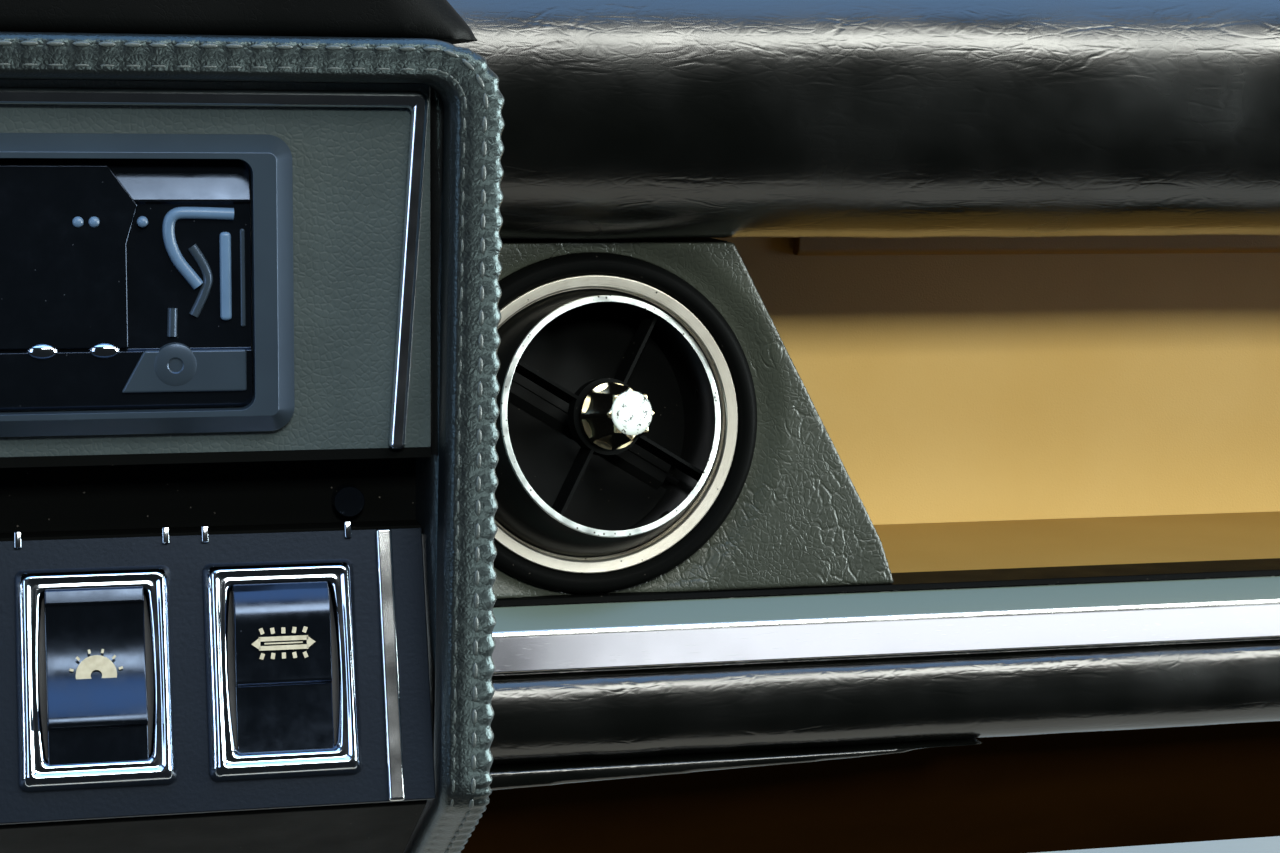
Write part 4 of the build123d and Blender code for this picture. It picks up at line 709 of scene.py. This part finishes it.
# Zinc plate on the spindle and the radio's case: pale and dull, its crystals just visible as patches.
zinc, where = blank("Zinc-plated steel")
bloom = add(zinc, "TexVoronoi", {"Vector": where, "Scale": 1 / 0.006})
tone = add(zinc, "Mix", {0: bloom, 6: srgb("#8E8F8C"), 7: srgb("#B9BAB6")}, data_type="RGBA")
dull = add(zinc, "MapRange", {0: bloom, 3: 0.35, 4: 0.5})
add(zinc, "OutputMaterial", {0: add(zinc, "BsdfPrincipled", {
    "Base Color": tone, "Metallic": 1.0, "Roughness": dull})})
paint_nodes(("knob_spindle", "radio_chassis"), zinc)

# Console: black hide over foam round the front and down the chin, sewn with two rows of thread. The
# outer row puffs the hide up between its stitches, and the inner one draws it into a groove.
FRONT_Y = -0.332
TOP_Z = 0.098
HALF = 0.1325
TAPER = 0.0025 / 0.152
CORNER_R = 0.013
CHIN_R = 0.009
CHIN_TURN = radians(58)
CHIN_START_Z = -0.054 + CHIN_R * tan(CHIN_TURN / 2)
STITCH_PITCH = 0.0047
SIDE_BULGE = 0.0024
OUTER_ROW = 0.0021
INNER_ROW = 0.0060
INNER_SLOPE = 0.42
PUFF = 0.00040
PUFF_SPREAD = 0.0012
GROOVE = 0.00045
GROOVE_SPREAD = 0.0007
SEAM_BAND = 0.0065
CHIN_STRETCH = 0.85


def edge_of(co):
    """Distance in from the frame's outline and distance along it from the middle of the top."""
    sideways = HALF - TAPER * (TOP_Z - co.z) - abs(co.x)
    down = TOP_Z - co.z
    over, under = CORNER_R - sideways, CORNER_R - down
    if over > 0 and under > 0:
        return CORNER_R - hypot(over, under), HALF - CORNER_R + CORNER_R * atan2(over, under)
    if down < sideways:
        return down, abs(co.x)
    run = HALF - CORNER_R + CORNER_R * pi / 2 + down - CORNER_R
    return sideways, run + max(0, CHIN_START_Z - co.z) * CHIN_STRETCH


def sewn(co, normal):
    """Puffs and grooves of the two seams, and the fall of the hide inside them."""
    if normal.y > 0.2:
        return Vector((0, 0, 0))
    inside, run = edge_of(co)
    wave = 0.5 - 0.5 * cos(2 * pi * run / STITCH_PITCH)
    outer = exp(-((inside - OUTER_ROW) / PUFF_SPREAD) ** 2)
    inner = exp(-((inside - INNER_ROW) / GROOVE_SPREAD) ** 2)
    lift = PUFF * (wave - 0.5) * outer - GROOVE * inner * (1 - 0.5 * wave)
    near = min(1, max(0, 1 - inside / SEAM_BAND))
    at_side = 1 if run > HALF - CORNER_R * 0.5 else 0
    bulge = SIDE_BULGE * near * near * (3 - 2 * near) * (0.7 + 0.3 * wave) * at_side
    fall = INNER_SLOPE * max(0, inside - SEAM_BAND)
    return normal * lift + Vector((bulge if co.x > 0 else -bulge, fall, 0))


console_frame = padded("console_frame", "console_frame_skin", 0.0022, 0.0007, 5)
reshape(console_frame, sewn)
# A blue tint put into the sheen of the satin paint and the black mouldings: a painted cool reflection.
PAINTED_COOL_REFLECTION = srgb("#B4CCF4")
# Finished hide: finely pebbled and shiny, its sheen tinted blue-green as a painted cool reflection.
leather, where = blank("Black hide")
pebble = add(leather, "TexVoronoi", {"Vector": where, "Scale": 1 / 0.0010}, feature="DISTANCE_TO_EDGE")
crease = add(leather, "TexNoise", {"Vector": where, "Scale": 1 / 0.0022, "Detail": 5, "Roughness": 0.6})
height = add(leather, "Math", {0: pebble, 1: crease})
bump = add(leather, "Bump", {"Height": height, "Distance": 0.00012})
tone = add(leather, "Mix", {0: crease, 6: srgb("#08090A"), 7: srgb("#101213")}, data_type="RGBA")
add(leather, "OutputMaterial", {0: add(leather, "BsdfPrincipled", {
    "Base Color": tone, "Roughness": 0.36, "Normal": bump, "Specular IOR Level": 0.8,
    "Specular Tint": srgb("#C6E2E6")})})
cover(console_frame, "console_leather", leather, "console_frame")
lit_by_hide_card.objects.link(console_frame)
console_shell = padded("console_shell", "console_shell_skin", 0.003, 0.0035, 3)
cover(console_shell, "console_leather", leather, "console_shell")
eased("foot_panel", 0.0004, "console_leather", plastic)


def seam_place(run, inside, lift):
    """Place and turn of a stitch on the frame's right half, this far along from the middle of the top."""
    turn_start = HALF - CORNER_R
    side_start = turn_start + CORNER_R * pi / 2
    chin_start = side_start + TOP_Z - CORNER_R - CHIN_START_Z
    chin_end = chin_start + CHIN_R * CHIN_TURN
    out = Vector((0, -1, 0))
    if run < turn_start:
        place, along = Vector((run, FRONT_Y, TOP_Z - inside)), Vector((1, 0, 0))
    elif run < side_start:
        angle = (run - turn_start) / CORNER_R
        centre = Vector((HALF - CORNER_R, FRONT_Y, TOP_Z - CORNER_R))
        place = centre + Vector((sin(angle), 0, cos(angle))) * (CORNER_R - inside)
        along = Vector((cos(angle), 0, -sin(angle)))
    else:
        angle = min(CHIN_TURN, max(0, (run - chin_start) / CHIN_R))
        down = min(run, chin_start) - side_start
        rest = max(0, run - chin_end)
        y = FRONT_Y + CHIN_R * (1 - cos(angle)) + rest * sin(CHIN_TURN)
        z = TOP_Z - CORNER_R - down - CHIN_R * sin(angle) - rest * cos(CHIN_TURN)
        place = Vector((HALF - TAPER * (TOP_Z - z) - inside, y, z))
        along = Vector((-TAPER, sin(angle), -cos(angle))).normalized()
        out = Vector((0, -cos(angle), -sin(angle)))
    turn = Matrix((along, out.cross(along), out)).transposed().to_4x4()
    return Matrix.Translation(place + out * lift) @ turn


# Waxed thread: grey and half dull, with its twist just showing.
thread, where = blank("Waxed thread")
twist = add(thread, "TexNoise", {"Vector": where, "Scale": 1 / 0.0004, "Detail": 2})
bump = add(thread, "Bump", {"Height": twist, "Distance": 0.00008})
add(thread, "OutputMaterial", {0: add(thread, "BsdfPrincipled", {
    "Base Color": srgb("#3C4444"), "Roughness": 0.4, "Normal": bump})})


def small_solid(make, measures, **settings):
    """A plain cube or ball drawn to these measures along x, y and z."""
    bpy.ops.object.select_all(action="DESELECT")
    make(**settings)
    piece = bpy.context.active_object
    piece.data.transform(Matrix.Diagonal((*measures, 1)))
    return piece


add_ball = bpy.ops.mesh.primitive_uv_sphere_add
LAST_RUN = 0.355
for name, inside, length, thick, lift in (("outer_stitches", OUTER_ROW, 0.0034, 0.00055, 0.0),
                                          ("inner_stitches", INNER_ROW, 0.0030, 0.0004, -0.0005)):
    stitch = small_solid(add_ball, (length / 2, thick, thick * 0.8), segments=8, ring_count=6)
    places = []
    for index in range(int(LAST_RUN / STITCH_PITCH)):
        place = seam_place((index + 0.5) * STITCH_PITCH, inside, lift)
        places += [place, Matrix.Diagonal((-1, 1, 1, 1)) @ place]
    row = row_of(stitch, places, name)
    open_mesh(row)
    close_mesh()
    dress(row, "console_leather", thread)

# Console panels: sheet sprayed with black crackle paint above, satin black on the leaning lower one,
# and a dark recess between them with small round lamps.
crackle, where = blank("Black crackle paint")
cracks = add(crackle, "TexVoronoi", {"Vector": where, "Scale": 1 / 0.0014}, feature="DISTANCE_TO_EDGE")
cracks = add(crackle, "MapRange", {0: cracks, 1: 0.0, 2: 0.25}, interpolation_type="SMOOTHSTEP")
patch = add(crackle, "TexNoise", {"Vector": where, "Scale": 1 / 0.012, "Detail": 4})
tone = add(crackle, "Mix", {0: patch, 6: srgb("#252E30"), 7: srgb("#333D3F")}, data_type="RGBA")
bump = add(crackle, "Bump", {"Height": cracks, "Distance": 0.00005})
add(crackle, "OutputMaterial", {0: add(crackle, "BsdfPrincipled", {
    "Base Color": tone, "Roughness": 0.55, "Normal": bump, "Specular IOR Level": 0.4})})
eased("upper_panel", 0.0003, "crackle_black", crackle)
# Its sheen is tinted blue: a painted cool reflection.
satin = satiny("Satin black panel paint", 0.02, "#080A0D", "#0C1014", (0.42, 0.42),
               peel=0.0009, depth=0.00003, shine=0.3, tint=PAINTED_COOL_REFLECTION)
eased("lower_panel", 0.0003, "crackle_black", satin)

# Switches: chromed bezels with a double ridge, waisted inside, round glossy black rockers that stand
# tipped up or down. Each has a ledge below its dished face, and two carry a pale pictogram.
def local_frame(origin, lean):
    """Matrix of a panel that leans back: x to the side, y up along the panel, z out of it."""
    up = Vector((0, sin(lean), cos(lean)))
    out = Vector((0, -cos(lean), sin(lean)))
    return Matrix.Translation(origin) @ Matrix((Vector((1, 0, 0)), up, out)).transposed().to_4x4()


LOWER_LEAN = atan2(17.5, 52.5)
lower_face = local_frame(Vector((0, -0.31875, -0.02725)), LOWER_LEAN)
SWITCH_PITCH = 0.0366
SWITCH_XS = [(index - 2.5) * SWITCH_PITCH for index in range(6)]
SWITCHES = [lower_face @ Matrix.Translation((x, 0, 0)) for x in SWITCH_XS]
BEZEL_HALF_W = 15.25
BEZEL_HALF_H = 21.75
SIDE_STEPS = 8
ARC_STEPS = 5
# each ring of the bezel: distance in from its edge, rise, corner radius and swell of its sides, all in mm
BEZEL_RINGS = [(0.0, 0.2, 1.8, 0), (0.1, 0.9, 1.8, 0), (0.5, 1.9, 1.7, 0), (1.2, 3.1, 1.5, 0),
               (1.8, 3.75, 1.4, 0), (2.2, 3.9, 1.3, 0), (2.6, 3.75, 1.2, 0.1), (3.0, 3.3, 1.2, 0.2),
               (3.4, 3.15, 1.2, 0.3), (3.9, 3.4, 1.2, 0.4), (4.3, 3.4, 1.3, 0.5), (4.8, 2.9, 1.4, 0.7),
               (5.15, 1.9, 1.5, 0.8), (5.2, 0.4, 1.5, 0.8)]


def ring_of(inset, rise, corner, swell):
    """Points round one ring of the bezel, its long sides bowed out by the swell."""
    half_w, half_h = BEZEL_HALF_W - inset, BEZEL_HALF_H - inset
    straight = half_h - corner
    side = [straight * (2 * step / SIDE_STEPS - 1) for step in range(SIDE_STEPS + 1)]
    side = [(half_w + swell * (1 - (y / straight) ** 2), y) for y in side]
    arc = [pi / 2 * step / ARC_STEPS for step in range(1, ARC_STEPS + 1)]
    arc = [(half_w - corner + corner * cos(angle), straight + corner * sin(angle)) for angle in arc]
    half = side + arc + [(-x, y) for x, y in reversed(arc)]
    low = [(-x, y) for x, y in reversed(side)] + [(-x, -y) for x, y in arc]
    low += [(x, -y) for x, y in reversed(arc)]
    return [Vector((x, y, rise)) / 1000 for x, y in half + low]


rings = [ring_of(*ring) for ring in BEZEL_RINGS]
count = len(rings[0])
faces = []
for level in range(len(rings) - 1):
    for index in range(count):
        after = (index + 1) % count
        faces.append([level * count + index, level * count + after, (level + 1) * count + after,
                      (level + 1) * count + index])
bezel_mould = new_piece("bezel_mould", [point for ring in rings for point in ring], [], faces)
switch_bezels = row_of(bezel_mould, SWITCHES, "bezels")
smooth(switch_bezels, 70)
chrome = plated("Chrome plate", "#D9E2EE", 0.06, 0.15)
dress(switch_bezels, "chrome", chrome, "switch_bezels")

# Gloss moulding: a dark mirror, smeared by fingers and specked with dust.
gloss, where = blank("Gloss black moulding")
smear = add(gloss, "TexNoise", {"Vector": where, "Scale": 1 / 0.006, "Detail": 5, "Roughness": 0.6})
dust = add(gloss, "TexVoronoi", {"Vector": where, "Scale": 1 / 0.003})
dust = add(gloss, "MapRange", {0: dust, 1: 0.03, 2: 0.05, 3: 1, 4: 0})
tone = add(gloss, "Mix", {0: dust, 6: srgb("#05070A"), 7: srgb("#2C3138")}, data_type="RGBA")
dull = add(gloss, "MapRange", {0: smear, 1: 0.3, 2: 0.7, 3: 0.10, 4: 0.26})
# Its sheen is tinted blue: a painted cool reflection.
add(gloss, "OutputMaterial", {0: add(gloss, "BsdfPrincipled", {
    "Base Color": tone, "Roughness": dull, "Specular IOR Level": 0.8, "Specular Tint": PAINTED_COOL_REFLECTION})})
ROCKER_W = 0.0192
# height along the panel and rise of the points round each rocker, in millimetres
ROCKER_UP = [(17.8, 0.2), (17.8, 2.6), (17.0, 3.4), (14.2, 3.6), (13.9, 3.0), (11.0, 2.2), (7.0, 1.7),
             (3.0, 1.9), (-1.0, 2.7), (-4.5, 3.9), (-8.0, 5.1), (-9.6, 5.2), (-10.1, 4.8), (-10.3, 3.6),
             (-14.0, 3.2), (-17.8, 2.9), (-17.8, 0.2)]
ROCKER_DOWN = [(17.8, 0.2), (17.8, 2.4), (15.5, 3.6), (14.8, 4.0), (11.5, 5.0), (8.5, 4.9), (5.5, 4.2),
               (2.0, 3.5), (-1.5, 3.1), (-2.8, 3.1), (-3.3, 2.7), (-3.5, 1.8), (-8.0, 1.4), (-13.0, 1.3),
               (-17.8, 1.5), (-17.8, 0.2)]
for name, outline, picks in (("rockers_up", ROCKER_UP, (1, 3, 4)), ("rockers_down", ROCKER_DOWN, (0, 2, 5))):
    mould = bar(name + "_mould", outline, ROCKER_W)
    bevelled(mould, 0.00045, 3, 38)
    piece = row_of(mould, [SWITCHES[index] for index in picks], name)
    keep_flat(piece, 40)
    dress(piece, "gloss_black", gloss, "switch_rockers")

# Legend paint: flat and yellowed, and thinner where fingers press.
legend = satiny("Pale legend paint", 0.0015, "#7E7A68", "#B8B5A2", (0.5, 0.5))


def bar_at(x, y, length, width, angle):
    """Corners of a thin bar on the rocker's face, in millimetres."""
    along = Vector((cos(angle), sin(angle), 0)) * length / 2
    across = Vector((-sin(angle), cos(angle), 0)) * width / 2
    middle = Vector((x, y, 0))
    return [middle - along - across, middle + along - across,
            middle + along + across, middle - along + across]


def pictogram(name, shapes, height, lean, picks):
    """Flat marks a hair above the rocker's face, tipped as the face is there."""
    points, faces = [], []
    for corners in shapes:
        faces.append(range(len(points), len(points) + len(corners)))
        points += [Vector(corner) / 1000 for corner in corners]
    mark = new_piece(name + "_mould", points, [], faces)
    shape(mark, "SOLIDIFY", thickness=0.00012, offset=0)
    tip = Matrix.Translation((0, 0, height)) @ Matrix.Rotation(lean, 4, "X")
    piece = row_of(mark, [SWITCHES[index] @ tip for index in picks], name)
    dress(piece, "gloss_black", legend)


SUN_HOLE = 1.1
SUN_R = 4.0
SUN_STEPS = 24
SUN_RAYS = 12
sun = []
for index in range(SUN_STEPS):
    low, high = 2 * pi * index / SUN_STEPS, 2 * pi * (index + 1) / SUN_STEPS
    corners = ((SUN_HOLE, low), (SUN_R, low), (SUN_R, high), (SUN_HOLE, high))
    sun.append([(radius * cos(turn), radius * sin(turn), 0) for radius, turn in corners])
for index in range(SUN_RAYS):
    angle = 2 * pi * (index + 0.5) / SUN_RAYS
    sun.append(bar_at(4.9 * cos(angle), 4.9 * sin(angle), 0.8, 0.5, angle))
pictogram("sun_marks", sun, 0.00268, radians(12), (1, 4))
beam = [bar_at(0, 5.6, 9.8, 0.9, 0), bar_at(0, 3.8, 9.8, 0.9, 0), bar_at(0, 4.7, 7.6, 0.3, 0),
        [(4.6, 6.05, 0), (4.6, 3.35, 0), (6.4, 4.7, 0)], [(-4.6, 3.35, 0), (-4.6, 6.05, 0), (-6.4, 4.7, 0)]]
RAY_PITCH = 2.15
RAY_FAN = 0.18
for index in range(-2, 3):
    beam.append(bar_at(index * RAY_PITCH, 7.2, 1.2, 0.8, pi / 2 - index * RAY_FAN))
    beam.append(bar_at(index * RAY_PITCH, 2.2, 1.2, 0.8, pi / 2 + index * RAY_FAN))
pictogram("beam_marks", beam, 0.00362, radians(10), (0, 5))
clip = small_solid(bpy.ops.mesh.primitive_cube_add, (0.0014, 0.0034, 0.0006), size=1)
bevelled(clip, 0.00025, 3, 30)
CLIP_OUT = 0.0144
sides = [Matrix.Translation((out, 0.0277, 0.0005)) for out in (-CLIP_OUT, CLIP_OUT)]
clips = row_of(clip, [place @ side for place in SWITCHES for side in sides], "clips")
dress(clips, "chrome", chrome)

# Radio: a satin surround with a broad bevel, and a gloss face whose upper edge leans back to the sky. A
# black display hood, a curled volume grip, two domed keys, a socket and a flat tape door stand on it.
# Both satin mouldings of the radio are smooth and slightly cloudy. The blue-black one's sheen is tinted
# blue as a painted cool reflection, and the blue-grey one's colour is a painted reflection of the sky.
navy = satiny("Blue-black satin moulding", 0.015, "#1E262E", "#27323B", (0.33, 0.33),
              detail=3, shine=0.8, tint=PAINTED_COOL_REFLECTION)
eased("radio_surround", 0.0005, "black_plastic", navy, 3)

FACE_HALF = 0.0857
radio_face = local_frame(Vector((0, -0.3200, 0.0503)), 0)
# height from the radio's middle and rise of the points round the face, in millimetres
FACE_OUTLINE = [(-24.0, 0.0), (-24.0, 2.4), (-23.4, 3.0), (-20.6, 3.3), (-12.8, 3.5), (-12.4, 2.6),
                (15.6, 2.6), (16.0, 3.4), (16.4, 3.5), (24.2, 0.3), (24.2, 0.0)]
face_mould = bar("radio_front_mould", FACE_OUTLINE, 2 * FACE_HALF)
bevelled(face_mould, 0.0002, 2, 20)
radio_front = row_of(face_mould, [radio_face], "radio_front")
keep_flat(radio_front)
dress(radio_front, "gloss_black", gloss, "radio_face")


def plate(name, corners, low, high, easing, slot, material):
    """A flat moulding on the radio's face: its outline in millimetres, drawn out between two levels."""
    corners = [(x / 1000, y / 1000, low / 1000) for x, y in corners]
    piece = drawn_out(name, corners, (0, 0, (high - low) / 1000))
    bevelled(piece, easing, 3, 30)
    piece.data.transform(radio_face)
    keep_flat(piece)
    dress(piece, slot, material)


plate("display_hood", [(-62, -12), (62, -12), (62, 8), (64.2, 15.4), (58.7, 23.0), (-62, 23.0)],
      1.5, 3.9, 0.0003, "gloss_black", gloss)
plate("tape_door", [(60.5, -20.8), (84.6, -20.8), (84.6, -12.6), (65.0, -12.6)], 2.8, 4.1, 0.0005,
      "gloss_black", navy)
# Blue-grey for the fader, grip and pips: a painted reflection of the sky, standing in for a mirror finish.
slate = satiny("Blue-grey moulding, a painted reflection", 0.006, "#3A5068", "#4C6682", (0.35, 0.35), detail=3)
plate("fader", [(79.7, -7.0), (81.9, -7.0), (81.9, 10.2), (79.7, 10.2)], 2.2, 3.9, 0.0008, "chrome", slate)
plate("door_edge", [(83.6, -8.3), (84.6, -8.3), (84.6, 10.8), (83.6, 10.8)], 2.2, 3.2, 0.0004,
      "gloss_black", navy)


def cord(name, points, thick, material, slot, start):
    """A round bar through these points, in millimetres, smoothed between them."""
    curve = bpy.data.curves.new(name, "CURVE")
    curve.dimensions = "3D"
    curve.bevel_depth = thick
    curve.bevel_resolution = 3
    curve.use_fill_caps = True
    line = curve.splines.new("NURBS")
    line.points.add(len(points) - 1)
    for point, (x, y, z) in zip(line.points, points):
        point.co = (x / 1000, y / 1000, z / 1000, 1)
    line.order_u = 3
    line.use_endpoint_u = True
    piece = bpy.data.objects.new(name, curve)
    scene.collection.objects.link(piece)
    pick(piece)
    bpy.ops.object.convert(target="MESH")
    piece.data.transform(start)
    smooth(piece, 60)
    dress(piece, slot, material)


cord("grip", [(82.5, 13.6, 2.8), (75, 13.9, 2.8), (70.4, 13.8, 2.8), (69.8, 9.5, 2.8), (71.4, 5.0, 2.8),
              (74.2, 1.6, 2.8), (75.6, -0.2, 2.8)], 0.0012, slate, "gloss_black", radio_face)
cord("grip_tail", [(74.4, 7.4, 2.5), (77.8, 2.6, 2.5), (77.0, -1.4, 2.5), (74.6, -6.0, 2.5)], 0.0010,
     navy, "gloss_black", radio_face)
cord("grip_stub", [(70.6, -4.5, 2.5), (70.4, -10.0, 2.5)], 0.0010, navy, "gloss_black", radio_face)
key = small_solid(add_ball, (0.0030, 0.0017, 0.0016), segments=24, ring_count=16)
KEY_XS = [0.0575 - 0.0116 * index for index in range(10)]
keys = row_of(key, [radio_face @ Matrix.Translation((x, -0.0125, 0.0030)) for x in KEY_XS], "keys")
dress(keys, "chrome", chrome)
pip = small_solid(add_ball, (0.0011, 0.0011, 0.0009), segments=16, ring_count=12)
PIP_XS = (0.0651, 0.0560, 0.0530)
pips = row_of(pip, [radio_face @ Matrix.Translation((x, 0.0122, 0.0037)) for x in PIP_XS], "pips")
dress(pips, "chrome", slate)
SOCKET_OUTLINE = [(1.35, 1.6), (1.35, 4.3), (1.6, 4.5), (3.4, 4.4), (4.1, 4.1), (4.3, 3.5), (4.3, 1.6)]
socket = spun("socket", SOCKET_OUTLINE, radio_face @ Vector((0.0709, -0.0155, 0)), (0, -1, 0), steps=48)
smooth(socket, 40)
dress(socket, "gloss_black", navy)
eased("panel_lamps", 0.0004, "chrome", gloss)

low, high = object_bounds()
